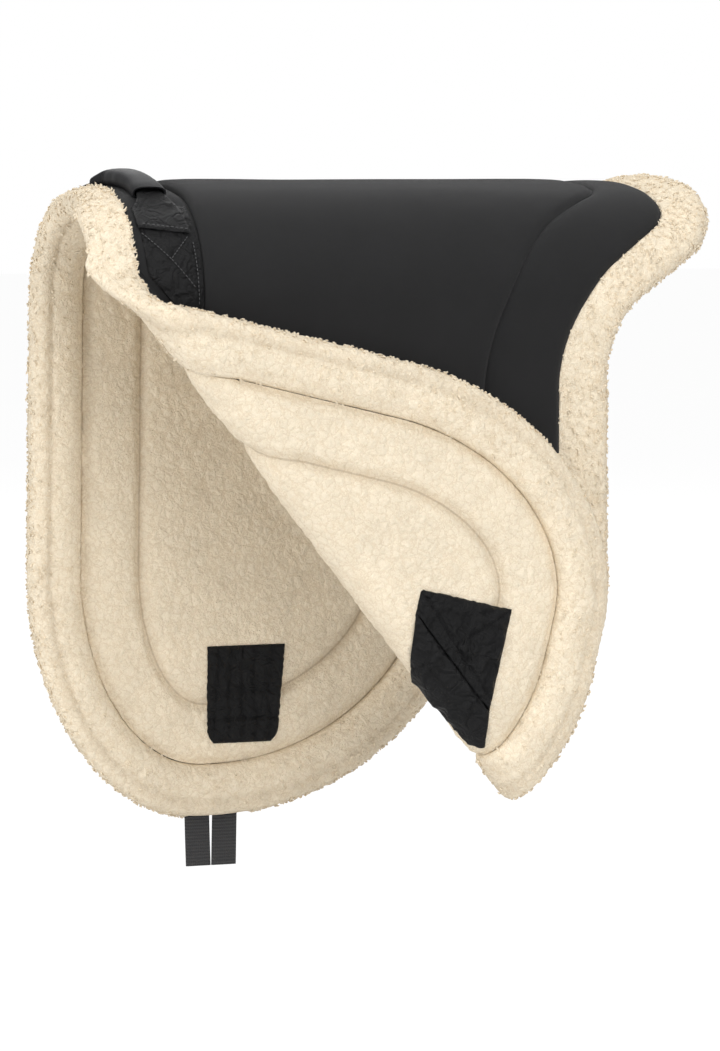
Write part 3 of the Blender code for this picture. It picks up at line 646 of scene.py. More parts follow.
def makeLining():
    # Height under the lining's face: puff between seams and curly nap, less a groove along the quilting line
    # and a dip into the rim's seam, each a bell of the distance to its line.
    shape = liningShape
    seam = closedLine(liningSeam)
    edge = closedLine(rimOnLining)
    names = {"fixed": ("fleeceLining", "fleece_lining"), "fold": ("foldLining", "fold_lining"),
             "corner": ("cornerLining", "corner_lining")}
    for part, (name, node) in names.items():
        a, b = region(rimOnLining, part, shape["step"], 0.4)
        side = signedTo(a, b, seam)
        toSeam = np.abs(side)
        toEdge = distanceTo(a, b, edge)
        groove = bell(toSeam, shape["grooveWidth"]) * shape["grooveDepth"]
        dip = bell(toEdge, shape["seamDipWidth"]) * shape["seamDip"]
        puff = shape["puff"] * smoothShare(np.minimum(toSeam, toEdge), 0, shape["puffReach"])
        nap = pile(onFlat(a, b), shape["curl"], shape["pile"])
        low = heights["liningFace"] - puff - nap * (1 - 0.6 * dip / shape["seamDip"]) + groove + dip + 1.0
        low = low + (shape["underPatch"] - low) * underPatch(a, b)
        low = np.minimum(low, heights["liningBack"] - 1.0)
        piece = slab(name, a, b, low, np.full_like(a, heights["liningBack"]), fleece, 6, side + 100.0)
        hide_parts(node)
        joinBody(piece, part)
    print("fleece lining made")


# The rolled fleece rim.

rimShape = {"step": 2.3, "pile": 2.0, "curl": 6.0, "noseDepth": 14.0, "puff": 2.0, "rollDepth": 2.6,
            "rollWidth": 4.0, "faceWidth": 36.0, "cantleRise": 4.0, "seamDip": 11.5, "coverSideRings": 24,
            "tuftsPerCell": 0.3, "tuftLength": 4.2, "tuftWidth": 1.15}
noMark = 60.0  # in the fleece's attribute: far from any sewn line


def alongLine(points, share):
    # Points of a closed line at shares of its corners, straight between the drawn points.
    index = np.linspace(0, 1, len(points))
    return np.stack([np.interp(share, index, points[:, k]) for k in (0, 1)], -1)


def rimProfile(share):
    # Rings from the cover seam over the nose to the lining seam and back inside, as (ring, spot, a b h).
    edge = alongLine(closedLine((0.0,) * 5), share)
    coverSide = alongLine(closedLine(rimOnCover, -0.15), share)
    liningSide = alongLine(closedLine(rimOnLining, -0.4), share)
    innerTop = alongLine(closedLine((12.0,) * 5), share)
    innerLow = alongLine(closedLine((rimShape["noseDepth"],) * 5), share)
    middle = (heights["rimOutside"] + heights["rimInside"]) / 2
    half = (heights["rimOutside"] - heights["rimInside"]) / 2

    def ring(flat, height, low=None, rise=0.0):
        lowHeight = height if low is None else low
        pommel = pommelShare(flat[:, 0], flat[:, 1])
        h = height + (lowHeight - height) * pommel + rise * cantleShare(flat[:, 0])
        # Round the fold the rim is pressed flat, down to the lining's own height.
        bent = np.sin(pi * np.clip(acrossFold(flat[:, 0], flat[:, 1]) / foldArc, 0, 1)) ** 2 * 0.8
        face = heights["liningFace"]
        h = np.where(h < face, face + (h - face) * (1 - bent), h)
        return np.column_stack([flat, h])

    seamHigh, seamLow = heights["coverTop"] - 2.2, heights["lowCoverTop"] - 1.8
    rings = [ring(coverSide, seamHigh, seamLow)]
    lowHalf = heights["lowRimOutside"] - middle
    for t in np.linspace(0.04, 1, 12)[:-1]:
        flat = coverSide + (innerTop - coverSide) * t
        lift = sin(t * pi / 2) ** 0.7
        high = seamHigh + (middle + half - seamHigh) * lift
        low = seamLow + (middle + lowHalf - seamLow) * lift
        rings.append(ring(flat, high, low, rimShape["cantleRise"] * lift))
    for angle in np.linspace(pi / 2, 0, 9)[:-1]:
        flat = edge + (innerTop - edge) * (1 - cos(angle))
        up = sin(angle)
        rings.append(ring(flat, middle + half * up, middle + lowHalf * up, rimShape["cantleRise"] * up))
    for angle in np.linspace(0, -pi / 2, 10):
        flat = edge + (innerLow - edge) * (1 - cos(angle))
        rings.append(ring(flat, middle + half * sin(angle)))
    for t in np.linspace(0, 1, 15)[1:]:
        flat = innerLow + (liningSide - innerLow) * t
        dip = 1 - np.sqrt(max(0.0, 1 - max(0.0, (t - 0.45) / 0.55) ** 2))
        roll = rimShape["rollDepth"] * bell(t * rimShape["faceWidth"], rimShape["rollWidth"])
        puff = rimShape["puff"] * sin(pi * min(t, 0.9))
        rings.append(ring(flat, heights["rimInside"] - puff + roll + rimShape["seamDip"] * dip))
    fine = len(rings)
    # The faint sewn line at the roll, where the fleece's attribute paints shade: the nose before it, the rest
    # past it.
    rollShadeMark = np.full(fine + 3, noMark)
    rollShadeMark[20:30] = 101.1 + rimShape["noseDepth"] * np.cos(np.linspace(0, -pi / 2, 10))
    rollShadeMark[30:fine] = 101.1 + rimShape["faceWidth"] * np.linspace(0, 1, 15)[1:]
    rings.append(ring(liningSide, heights["liningBack"]))
    rings += [ring(flat, heights["foamTop"], heights["lowFoamTop"]) for flat in (liningSide, coverSide)]
    return np.stack(rings), fine, rollShadeMark


def cutAtFold(rings, share, part):
    # Each ring's shares between its two crossings of the fold's lines, so that the ends follow the slant.
    across = acrossFold(rings[..., 0], rings[..., 1])
    lines = {"fixed": (0.0, 0.0), "fold": (0.0, foldArc), "corner": (foldArc,) * 2}[part]
    spans = []
    for level in lines:
        past = across > level
        first = past.argmax(1)
        last = past.shape[1] - 1 - past[:, ::-1].argmax(1)
        rows = np.arange(len(rings))

        def crossing(i, j):
            x, y = across[rows, i], across[rows, j]
            return share[i] + (share[j] - share[i]) * (level - x) / (y - x)

        spans.append((crossing(first - 1, first), crossing(last + 1, last)))
    return spans


def resample(rings, share, start, end, total, step):
    # Rings read again at even steps from start to end, which may pass the line's own end. The rings stand
    # at even lengths of the line, at the given shares of its drawn points.
    length = np.linspace(0, 1, len(share))
    first = np.interp(start % 1.0, share, length) + np.floor(start)
    last = np.interp(end % 1.0, share, length) + np.floor(end)
    count = max(14, int(float((last - first).mean()) * total / step))
    wanted = first[:, None] + (last - first)[:, None] * np.linspace(0, 1, count)
    out = np.empty((len(rings), count, 3))
    for i in range(len(rings)):
        for k in range(3):
            out[i, :, k] = np.interp(wanted[i] % 1.0, length, rings[i, :, k])
    return out


def underStraps(a, b):
    # 1 where the girth straps lie on the rim and press its nap flat.
    beside = smoothShare(np.abs(a - strapShape["middle"]), 29.0, 34.0)
    return (1 - beside) * smoothShare(np.abs(b), 632.0, 640.0)


def tufts(world, normal, fine, flat):
    # Short curled locks on the fleece: each a four-sided spike whose middle line bends over to one side.
    chance = np.random.default_rng(7)
    cells = (fine - 1) * (world.shape[1] - 1)
    count = int(cells * rimShape["tuftsPerCell"])
    i = chance.integers(0, fine - 1, count)
    # Most stand on the cover's side and round the nose, where they show against the black cover.
    i = i[(i < rimShape["coverSideRings"]) | (chance.random(count) < 0.25)]
    j = chance.integers(0, world.shape[1] - 1, len(i))
    free = (underStraps(flat[i, j, 0], flat[i, j, 1]) < 0.05) | (i > 26)
    i, j = i[free], j[free]
    count = len(i)
    u, v = chance.random((2, count, 1))
    here = world[i, j] * (1 - u) + world[i + 1, j] * u
    beside = world[i, j + 1] * (1 - u) + world[i + 1, j + 1] * u
    spot = here * (1 - v) + beside * v
    up = normal[i, j]
    lean = chance.normal(size=(count, 3))
    lean -= up * (lean * up).sum(-1, keepdims=True)
    lean /= np.linalg.norm(lean, axis=-1, keepdims=True)
    side = np.cross(up, lean)
    size = chance.uniform(0.55, 1.15, (count, 1))
    length, width = rimShape["tuftLength"] * mm, rimShape["tuftWidth"] * mm
    rise = (-0.30, 0.16, 0.26, 0.22)
    reach = (0.0, 0.20, 0.60, 0.95)
    thick = (1.0, 0.95, 0.6, 0.0)
    rows = []
    for r, l, w in zip(rise, reach, thick):
        middle = spot + up * (r * length * size) + lean * (l * length * size)
        if w == 0.0:
            rows.append(middle[:, None])
            continue
        for way in (up, side, -up, -side):
            rows.append((middle + way * (w * width * size))[:, None])
    points = np.concatenate(rows, 1)
    ring = np.array([[0, 1, 5, 4], [1, 2, 6, 5], [2, 3, 7, 6], [3, 0, 4, 7]])
    quads = np.vstack([ring, ring + 4, [[3, 2, 1, 0]]])
    tips = np.array([[8, 9, 12], [9, 10, 12], [10, 11, 12], [11, 8, 12]])
    first = (np.arange(count) * 13)[:, None, None]
    return points.reshape(-1, 3), (quads[None] + first).reshape(-1, 4), (tips[None] + first).reshape(-1, 3)


def tube(name, rings, look, lift=None, fine=0, mark=None):
    # A closed tube of rings with flat ends, lifted off its own surface by lift, with tufts on its fine rings.
    count, length = rings.shape[:2]
    world = wrap(rings[..., 0], rings[..., 1], rings[..., 2])
    if lift is not None:
        along = np.gradient(world, axis=1)
        around = np.roll(world, -1, 0) - np.roll(world, 1, 0)
        normal = np.cross(along, around)
        normal /= np.maximum(np.linalg.norm(normal, axis=-1, keepdims=True), 1e-12)
        world = world + normal * (lift * mm)[..., None]
    index = np.arange(count * length).reshape(count, length)
    faces = quadsOf(np.vstack([index, index[:1]])).tolist()
    faces += [index[:, 0].tolist(), index[::-1, -1].tolist()]
    points, uv = world.reshape(-1, 3), rings[..., :2].reshape(-1, 2) * mm
    seam = None if mark is None else np.repeat(mark, length)
    if fine:
        extra, quads, tips = tufts(world, normal, fine, rings)
        faces += (quads + len(points)).tolist() + (tips + len(points)).tolist()
        points, uv = np.vstack([points, extra]), np.vstack([uv, np.zeros((len(extra), 2))])
        seam = np.concatenate([seam, np.full(len(extra), noMark)])
    return makeMesh(name, points, faces, look, uv, seam)


def evenShares(insets, count):
    # Shares of a line's drawn points that stand at even lengths of it, and its whole length.
    line = closedLine(insets)
    lengths = lengthAlong(line)
    return np.interp(np.linspace(0, lengths[-1], count), lengths, np.linspace(0, 1, len(line))), lengths[-1]


def makeRim():
    # The profile's rings are cut where they cross the fold's lines, read again at even steps, and roughened.
    share, total = evenShares((0.0,) * 5, 1701)
    rings, fine, rollShadeMark = rimProfile(share)
    names = [("fixed", "fleeceRim", "fleece_rim"), ("fold", "foldRimFront", "fold_rim_front"),
             ("fold", "foldRimHem", "fold_rim_hem"), ("corner", "cornerRim", "corner_rim")]
    top = rimShape["coverSideRings"]
    for part, name, node in names:
        spans = cutAtFold(rings, share, part)
        if part == "fixed":
            start, end = spans[0][1], spans[0][0] + 1
        elif part == "corner":
            start, end = spans[0][0], spans[0][1]
        elif name == "foldRimHem":
            start, end = spans[0][0], spans[1][0]
        else:
            start, end = spans[1][1], spans[0][1]
        cut = resample(rings, share, start, end, total, rimShape["step"])
        nap = pile(cut, rimShape["curl"], rimShape["pile"]) - 0.6
        nap[0] *= 0.5
        nap[fine - 1] *= 0.3
        flattened = underStraps(cut[:top, :, 0], cut[:top, :, 1])
        nap[:top] = nap[:top] * (1 - flattened) - 0.9 * flattened
        nap[fine:] = 0
        piece = tube(name, cut, fleece, nap, fine, rollShadeMark)
        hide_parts(node)
        joinBody(piece, part)
    print("fleece rim made")


# The black cover and the foam.

coverShape = {"step": 5.0, "thickness": 2.2, "least": 0.4, "puff": 3.0, "puffReach": 9.0, "seamDepth": 3.2,
              "seamWidth": 3.0, "crease": 0.7, "foldSeamDepth": 1.6, "borderStep": 3.2, "borderPuff": 2.2,
              "borderSeamDepth": 1.7, "pressedThickness": 2.1}


def coverUnder(a, b):
    # The cover's underside, lower where the pad is thin under the handle.
    return heights["coverUnder"] + (heights["lowCoverUnder"] - heights["coverUnder"]) * pommelShare(a, b)


def creases(a, b):
    # Slack in the cloth: slow waves that run across the flap and fade into the seams.
    flat = onFlat(a * 0.35 + b * 0.1, b)
    return waves(flat, 42.0, 2.0) * 0.6 + waves(flat, 19.0, 7.0) * 0.3


def makeCover():
    # Cloth that puffs up away from its sunk seams, with slow creases and a pucker beside the seam.
    shape = coverShape
    seam = closedLine(seatSeam)
    outer = closedLine(rimOnCover)
    a, b = region(seatSeam, "fixed", shape["step"], -0.1)
    toSeam = distanceTo(a, b, seam)
    swell = shape["puff"] * (1 - np.exp(-toSeam / shape["puffReach"]))
    swell = swell - shape["seamDepth"] * bell(toSeam, shape["seamWidth"])
    pucker = waves(onFlat(a, b), 13.0, 5.0) * 0.7 * np.exp(-toSeam / 14.0)
    high = heights["coverTop"] + swell + creases(a, b) * shape["crease"] * smoothShare(toSeam, 0, 30) + pucker
    under = np.full_like(a, heights["coverUnder"])
    drop = heights["lowCoverUnder"] - heights["coverUnder"]
    under[:, 0] += drop * besidePommel(b[:, 0])
    high = np.maximum(high, heights["coverUnder"] + shape["least"])
    piece = slab("seatPanel", a, b, under, high, seatCloth, -4)
    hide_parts("seat_panel")
    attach(piece, "pad")
    for part, name, node in (("fold", "foldCover", "fold_cover"), ("corner", "cornerCover", "corner_cover")):
        a, b = region(rimOnCover, part, shape["step"], 0.3)
        under = coverUnder(a, b)
        high = under + shape["thickness"]
        for line, width in ((seam, shape["seamWidth"]), (outer, 4.0)):
            high = high - shape["foldSeamDepth"] * bell(distanceTo(a, b, line), width)
        high = high + 0.4 * creases(a, b)
        piece = slab(name, a, b, under, np.maximum(high, under + shape["least"]), seatCloth, -4)
        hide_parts(node)
        joinBody(piece, part)
    makeBorder()
    makeFoamPieces()
    print("cover and foam made")


def makeBorder():
    # Rings from the rim's edge over the puffed border to the seat's seam, and back underneath. The border is
    # pressed flat under the handle's tabs.
    shape = coverShape
    share, total = evenShares(rimOnCover, 1101)
    outerLine = alongLine(closedLine(rimOnCover, 0.2), share)
    across = alongLine(closedLine(seatSeam), share) - outerLine
    width = np.linalg.norm(across, axis=1)
    rings = []
    for t in np.linspace(0, 1, 17):
        flat = outerLine + across * t
        a, b = flat.T
        toSide = width * min(t, 1 - t)
        swell = shape["thickness"] + shape["borderPuff"] * (1 - np.exp(-toSide / 8.0))
        swell = swell - shape["borderSeamDepth"] * bell(toSide, shape["seamWidth"])
        rise = np.maximum(swell + creases(a, b) * 0.5 * smoothShare(toSide, 0, 12), shape["least"])
        drop = np.abs(b)
        pressed = pommelShare(a, b) * smoothShare(drop, 80.0, 96.0) * (1 - smoothShare(drop, 208.0, 222.0))
        rise = rise + (np.minimum(rise, shape["pressedThickness"]) - rise) * pressed
        rings.append(np.column_stack([flat, coverUnder(a, b) + rise]))
    for t in (1, 0.5, 0):
        flat = outerLine + across * t
        rings.append(np.column_stack([flat, coverUnder(*flat.T)]))
    rings = np.stack(rings)
    spans = cutAtFold(rings, share, "fixed")
    cut = resample(rings, share, spans[0][1], spans[0][0] + 1, total, shape["borderStep"])
    piece = tube("borderCover", cut[::-1], seatCloth)
    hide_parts("border_cover")
    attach(piece, "pad")


def makeFoamPieces():
    # Plain slabs between lining and cover.
    for part, name, node in (("fixed", "foamCore", "foam_core"), ("fold", "foldFoam", "fold_foam"),
                             ("corner", "cornerFoam", "corner_foam")):
        a, b = region(foamEdge, part, 9.0)
        low, high = (np.full_like(a, level) for level in (heights["liningBack"] + 0.3, heights["foamTop"]))
        piece = slab(name, a, b, low, high, foam, -1)
        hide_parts(node)
        joinBody(piece, part)


# Patches on the lining.


def gridBetween(every, front, rear, least, step=None, rowCount=None, columns=None):
    # Even rows between two edges, wherever the edges lie more than the least width apart.
    kept = rear - front > least
    order = np.argsort(every[kept])
    spots, front, rear = every[kept][order], front[kept][order], rear[kept][order]
    rows = np.linspace(spots[0], spots[-1], rowCount or int((spots[-1] - spots[0]) / step) + 2)
    start, end = np.interp(rows, spots, front), np.interp(rows, spots, rear)
    return fillRows(rows, start, end, columns or max(8, int((end - start).max() / step)) + 1)


def patchRows(side, part, step=1.35):
    # Rows of a patch between its slightly frayed edges, cut off at the fold like the layers under it.
    shape = patchShape[side]
    sign = 1 if side == "far" else -1
    bottom = shape["drop"] + shape["length"]
    every = np.linspace(shape["drop"], bottom + (40.0 if part == "fold" else 0.0), 1601) * sign
    frontA, rearA = patchEdges(every)
    fray = waves(onFlat(every, every * 0), 3.4, 3.0) * 0.5
    frontA, rearA = frontA + fray, rearA + fray[::-1]
    if side == "near" and part == "corner":
        rearA = np.minimum(rearA, foldLine(every, foldArc))
    if side == "near" and part == "fold":
        past = np.maximum(np.abs(every) - bottom, 0.0) * patchSlope
        frontA = np.maximum(frontA, foldLine(every, foldArc - past))
        slant = np.maximum(foldArc - (np.abs(every) - shape["drop"]) * patchSlope, 0.0)
        rearA = np.minimum(rearA, foldLine(every, slant))
    return gridBetween(every, frontA, rearA, 0.5, step)


def patchHeight(side, a, b):
    # Quilted cloth: channels down the far patch, crumpled ridges and a sewn cross on the near one.
    flat = onFlat(a, b)
    ridges = 1 - np.abs(waves(flat, 11.0, 11.0 if side == "far" else 21.0))
    if side == "far":
        channel = np.abs(np.sin((a + waves(flat, 30.0, 6.0) * 4.0 + (b - 525.0) * 0.06) * pi / 14.0)) ** 0.6
        band = bell(np.abs(b) - 594.0, 1.6) + bell(np.abs(b) - 569.0, 1.8) * 0.6
        folds = 1 - np.abs(waves(onFlat(a * 1.1, b * 0.35), 9.0, 41.0))
        return 0.8 + 2.0 * channel + 1.5 * folds * ridges - 1.8 * band
    shape = patchShape["near"]
    crossWidth = 84.0
    u = (a - shape["front"]) / crossWidth
    v = (np.abs(b) - shape["drop"]) / shape["length"]
    cross = bell((u - v) * crossWidth, 2.0) + bell((u + v - 1) * crossWidth, 2.0)
    slant = onFlat(a * 0.5 + b * 0.8, (b - a) * 0.35)
    crumples = 1 - np.abs(waves(slant, 10.0, 31.0))
    return 1.0 + 2.0 * ridges**2 + 1.9 * crumples**2 - 1.5 * np.clip(cross, 0, 1)


def makePatches():
    # Quilted slabs on the lining, thinner in a narrow lip along their edges.
    for side, part, name, node in (("far", "fixed", "girthPatchFar", "girth_patch_far"),
                                   ("near", "corner", "girthPatchNear", "girth_patch_near"),
                                   ("near", "fold", "foldPatch", "fold_patch")):
        a, b = patchRows(side, part)
        toEnd, toEdge = (np.minimum(np.arange(count), np.arange(count)[::-1]) for count in a.shape)
        lip = np.clip(np.minimum(toEdge, toEnd[:, None]) / 1.5, 0, 1)
        high = np.full_like(a, -11.2)
        low = high - 0.7 - patchHeight(side, a, b) * (0.35 + 0.65 * lip)
        piece = slab(name, a, b, low, high, patchCloth, 3)
        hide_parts(node)
        joinBody(piece, part)
    print("patches made")


# Grab handle.

handleShape = {"a": -268.0, "middle": -25.0, "halfLength": 59.0, "width": 28.0, "flare": 1.6,
               "thickness": 17.3, "endThickness": 12.0, "fingerGap": 0.8, "webbing": 1.6,
               "strapWidth": 22.0, "footFrom": 106.0, "footTo": 132.0, "footTilt": 0.15, "footWidth": 46.0,
               "tabFront": -286.5, "tabRear": -240.5, "tabFrom": 100.0, "tabTo": 205.0, "tabRounding": 14.0,
               "tabThickness": 1.5, "ribPitch": 3.4, "ribDepth": 0.5, "stitchInset": 4.0, "footInset": 3.0}
tabTop = heights["lowCoverTop"] + 0.3 + handleShape["tabThickness"]


def sleeveLine(b):
    # The sleeve's middle height: a parabola that falls from its middle to its ends.
    high = heights["lowCoverTop"] + handleShape["fingerGap"] + handleShape["thickness"] / 2
    end = heights["lowCoverTop"] + 0.6 + handleShape["endThickness"] / 2
    return high + (end - high) * ((b - handleShape["middle"]) / handleShape["halfLength"]) ** 2


def makeSleeve():
    # Rings along the handle: ribs round the far half, a seam, then a smooth half that ends in an open mouth.
    shape = handleShape
    b = np.linspace(shape["middle"] + shape["halfLength"], shape["middle"] - shape["halfLength"], 240)
    turn = np.linspace(0, 2 * pi, 97)[:-1]
    up = np.sign(np.sin(turn)) * np.abs(np.sin(turn)) ** 0.8
    out = np.sign(np.cos(turn)) * np.abs(np.cos(turn)) ** 0.72

    def sections(b, wider, thicker):
        spread = ((b - shape["middle"]) / shape["halfLength"])[:, None]
        wide = shape["width"] / 2 + shape["flare"] * smoothShare(-spread, 0.55, 1.0)
        thick = (shape["thickness"] + (shape["endThickness"] - shape["thickness"]) * spread**2) / 2
        return np.stack([shape["a"] + out * (wide + wider), b[:, None] + np.zeros_like(turn),
                         sleeveLine(b)[:, None] + up * (thick + thicker)], -1)

    ribs = (smoothShare(b, 3.0, 5.0) * np.cos(2 * pi * b / shape["ribPitch"]))[:, None] * shape["ribDepth"]
    seam = -0.9 * bell(b - 1.5, 1.1)[:, None] + 0.35 * bell(b + 1.4, 1.2)[:, None]
    along, x, y = np.broadcast_arrays(b[:, None], np.cos(turn) * 9, np.sin(turn) * 6)
    wrinkle = waves(np.stack([along, x, y], -1), 11.0, 8.0)
    lift = ribs + seam + 0.25 * wrinkle
    rings = np.vstack([sections(b, lift, lift), sections(b[::-1][1:66], -1.7, -1.5)])
    piece = tube("handleSleeve", rings.transpose(1, 0, 2)[::-1], grip)
    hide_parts("handle_sleeve")
    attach(piece, "pad")


def bandRings(b, height, width, thickness, center, columns):
    # Closed cross-sections of a flat band: over the top from one edge to the other and back underneath.
    # Height, width and center are one number each, or one for each ring.
    u = np.linspace(-1, 1, columns)
    edge = np.sqrt(np.clip(1 - np.abs(u) ** 14, 0, 1))
    across = np.r_[u, u[::-1]]
    side = np.r_[edge, -edge[::-1]]
    height, width, center = (np.broadcast_to(value, b.shape)[:, None] for value in (height, width, center))
    a = center + across * width / 2
    h = height + side * thickness / 2
    return np.stack([a, b[:, None] + np.zeros_like(across), h], -1)


def bandPiece(name, rings, look, world=None):
    # Rings joined along the band and capped. Its own coordinates are x over the width, y along it.
    rows, columns = rings.shape[:2]
    points = wrap(rings[..., 0], rings[..., 1], rings[..., 2]) if world is None else world
    faces = ringFaces(rows, columns).tolist()
    index = np.arange(rows * columns).reshape(rows, columns)
    faces += [index[0, ::-1].tolist(), index[-1].tolist()]
    length = lengthAlong(points.mean(1))
    offset = np.linalg.norm(points - points[:, :1], axis=-1)
    uv = np.stack([offset, length[:, None] + np.zeros((rows, columns))], -1)
    return makeMesh(name, points, faces, look, uv.reshape(-1, 2))


def makeHandleStrap():
    # One band from foot to foot through the sleeve: wide, slightly tilted feet, narrow inside the sleeve.
    shape = handleShape
    footLevel = tabTop + 0.3 + shape["webbing"] / 2
    first, last = shape["middle"] - shape["halfLength"], shape["middle"] + shape["halfLength"]
    spots = np.array([-shape["footTo"], -shape["footFrom"], first - 8.0, first + 6.0])
    inside = np.linspace(first + 12.0, last - 12.0, 20)
    spots = np.concatenate([spots, inside, [last - 6.0, last + 8.0, shape["footFrom"], shape["footTo"]]])
    level = np.concatenate([[footLevel] * 2, sleeveLine(spots[2:-2]), [footLevel] * 2])
    narrow = shape["strapWidth"]
    foot = [shape["footWidth"], shape["footWidth"] * 0.9, narrow + 7.0, narrow]
    wide = np.concatenate([foot, np.full(20, narrow), foot[::-1]])
    b = np.linspace(spots[0], spots[-1], 220)
    hem = bell(np.abs(b) - shape["footTo"] + 2.0, 1.6) * 0.7
    level, wide = np.interp(b, spots, level) + hem, np.interp(b, spots, wide)
    rings = bandRings(b, level, wide, shape["webbing"], shape["a"], 25)
    fold = waves(rings * np.array([1.0, 0.35, 0.0]), 9.0, 14.0) * 0.35
    rings[..., 2] += fold * smoothShare(np.abs(rings[..., 1]), 85.0, 100.0)
    tilt = shape["footTilt"] * (rings[..., 0] - shape["a"]) * smoothShare(np.abs(rings[..., 1]), 80.0, 125.0)
    rings[..., 1] += np.sign(rings[..., 1]) * tilt
    piece = bandPiece("handleStrap", rings, patchCloth)
    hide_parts("handle_strap")
    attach(piece, "pad")


def sewnTriangle():
    # The triangle sewn through the tab under the handle's foot, as a over drop.
    shape = handleShape
    half = shape["footWidth"] / 2 - shape["footInset"]
    return np.array([(shape["a"] - half, shape["footTo"] + 1.0), (shape["a"] + half, shape["footTo"] + 5.0),
                     (shape["a"] + 2.0, shape["footTo"] + 26.0)])


def insideTriangle(a, drop):
    # Distance to the nearest of the triangle's three sides, negative outside it.
    corners = sewnTriangle()
    middle = corners.mean(0)
    depth = np.full(np.shape(a), 99.0)
    for i in range(3):
        start, end = corners[i], corners[(i + 1) % 3]
        way = (end - start) / np.linalg.norm(end - start)
        normal = np.array([-way[1], way[0]])
        normal *= np.sign((middle - start) @ normal)
        depth = np.minimum(depth, (a - start[0]) * normal[0] + (drop - start[1]) * normal[1])
    return depth


def makeTabs():
    # A sewn tab each side, rounded at its lower end, with puckers along its stitching.
    for side, name, node in ((1, "handleTabFar", "handle_tab_far"), (-1, "handleTabNear", "handle_tab_near")):
        shape = handleShape
        every = np.linspace(shape["tabFrom"], shape["tabTo"], 401)
        radius = shape["tabRounding"]
        past = np.clip(every - shape["tabTo"] + radius, 0, radius)
        rounding = radius - np.sqrt(np.clip(radius**2 - past**2, 0, None))
        frontA, rearA = shape["tabFront"] + rounding, shape["tabRear"] - rounding
        every = every * side
        if side < 0:
            frontA = np.maximum(frontA, foldLine(every, -3.0))
        a, b = gridBetween(every, frontA, rearA, 1.0, rowCount=120, columns=55)
        low = np.full_like(a, heights["lowCoverTop"] + 0.3)
        inside = insideTriangle(a, np.abs(b))
        toStitches = shape["tabRear"] - shape["stitchInset"] - a
        high = tabTop + 0.3 * waves(onFlat(a, b), 8.0, 17.0) - 0.5 * bell(toStitches, 1.2)
        high = high + 1.0 * smoothShare(inside, 0.0, 7.0) - 0.6 * bell(inside, 1.3)
        piece = slab(name, a, b, low, high, patchCloth, -3)
        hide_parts(node)
        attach(piece, "pad")
    print("handle made")


# Girth straps.

strapShape = {"middle": -122.5, "spacing": 30.0, "width": 25.0, "drop": 640.0, "length": 96.0, "lean": 2.3,
              "anchorWidth": 62.0, "anchorLength": 52.0, "anchorThickness": 3.6, "webbing": 1.6}
anchorTop = heights["coverTop"] + 0.3 + strapShape["anchorThickness"]


def makeStraps():
    # Far straps hang from the anchor's top with a slight wave. Near straps fill their nodes' boxes, hidden in
    # the pocket. The anchors are thick short bands with a groove down the middle.
    shape = strapShape
    for shift, name, node, body in ((-0.5, "girthStrapFarFront", "girth_strap_far_front", "strap_far_front"),
                                    (0.5, "girthStrapFarRear", "girth_strap_far_rear", "strap_far_rear")):
        b = np.linspace(shape["drop"] + 0.9, shape["drop"] + shape["length"], 90)
        share = (b - b[0]) / (b[-1] - b[0])
        center = shape["middle"] + shift * shape["spacing"] - np.sign(shift) * shape["lean"] * share
        level = anchorTop - shape["webbing"] / 2 + 0.5 * np.sin(share * pi * 1.3 + shift) * share
        rings = bandRings(b, level, shape["width"], shape["webbing"], center, 17)
        piece = bandPiece(name, rings, webbing)
        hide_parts(node)
        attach(piece, body)
    for name, node, body in (("girthStrapNearFront", "girth_strap_near_front", "strap_near_front"),
                             ("girthStrapNearRear", "girth_strap_near_rear", "strap_near_rear")):
        low, high = np.array(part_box(node)) / mm
        z = np.linspace(high[2], low[2], 90)
        middle = (low + high) / 2
        rings = bandRings(z, middle[1], high[0] - low[0], high[1] - low[1], middle[0], 17)
        world = np.stack([rings[..., 0], rings[..., 2], rings[..., 1]], -1) * mm
        piece = bandPiece(name, rings, webbing, world)
        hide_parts(node)
        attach(piece, body)
    for side, name, node, body in ((1, "girthAnchorFar", "girth_anchor_far", "pad"),
                                   (-1, "girthAnchorNear", "girth_anchor_near", "turned_corner")):
        b = np.linspace(shape["drop"] - 0.15 - shape["anchorLength"], shape["drop"] - 0.15, 60)
        level = heights["coverTop"] + 0.3 + shape["anchorThickness"] / 2
        rings = bandRings(b, level, shape["anchorWidth"], shape["anchorThickness"], shape["middle"], 33)
        groove = bell(rings[..., 0] - shape["middle"], 2.0) * 0.9
        rings[..., 2] -= np.where(rings[..., 2] > level, groove, 0)
        rings[..., 1] *= side
        rings = rings if side > 0 else rings[::-1]
        piece = bandPiece(name, rings, webbing)
        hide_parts(node)
        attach(piece, body)
    print("straps made")


# Stitches.

stitchShape = {"length": 2.6, "pitch": 4.2, "radius": 0.42}


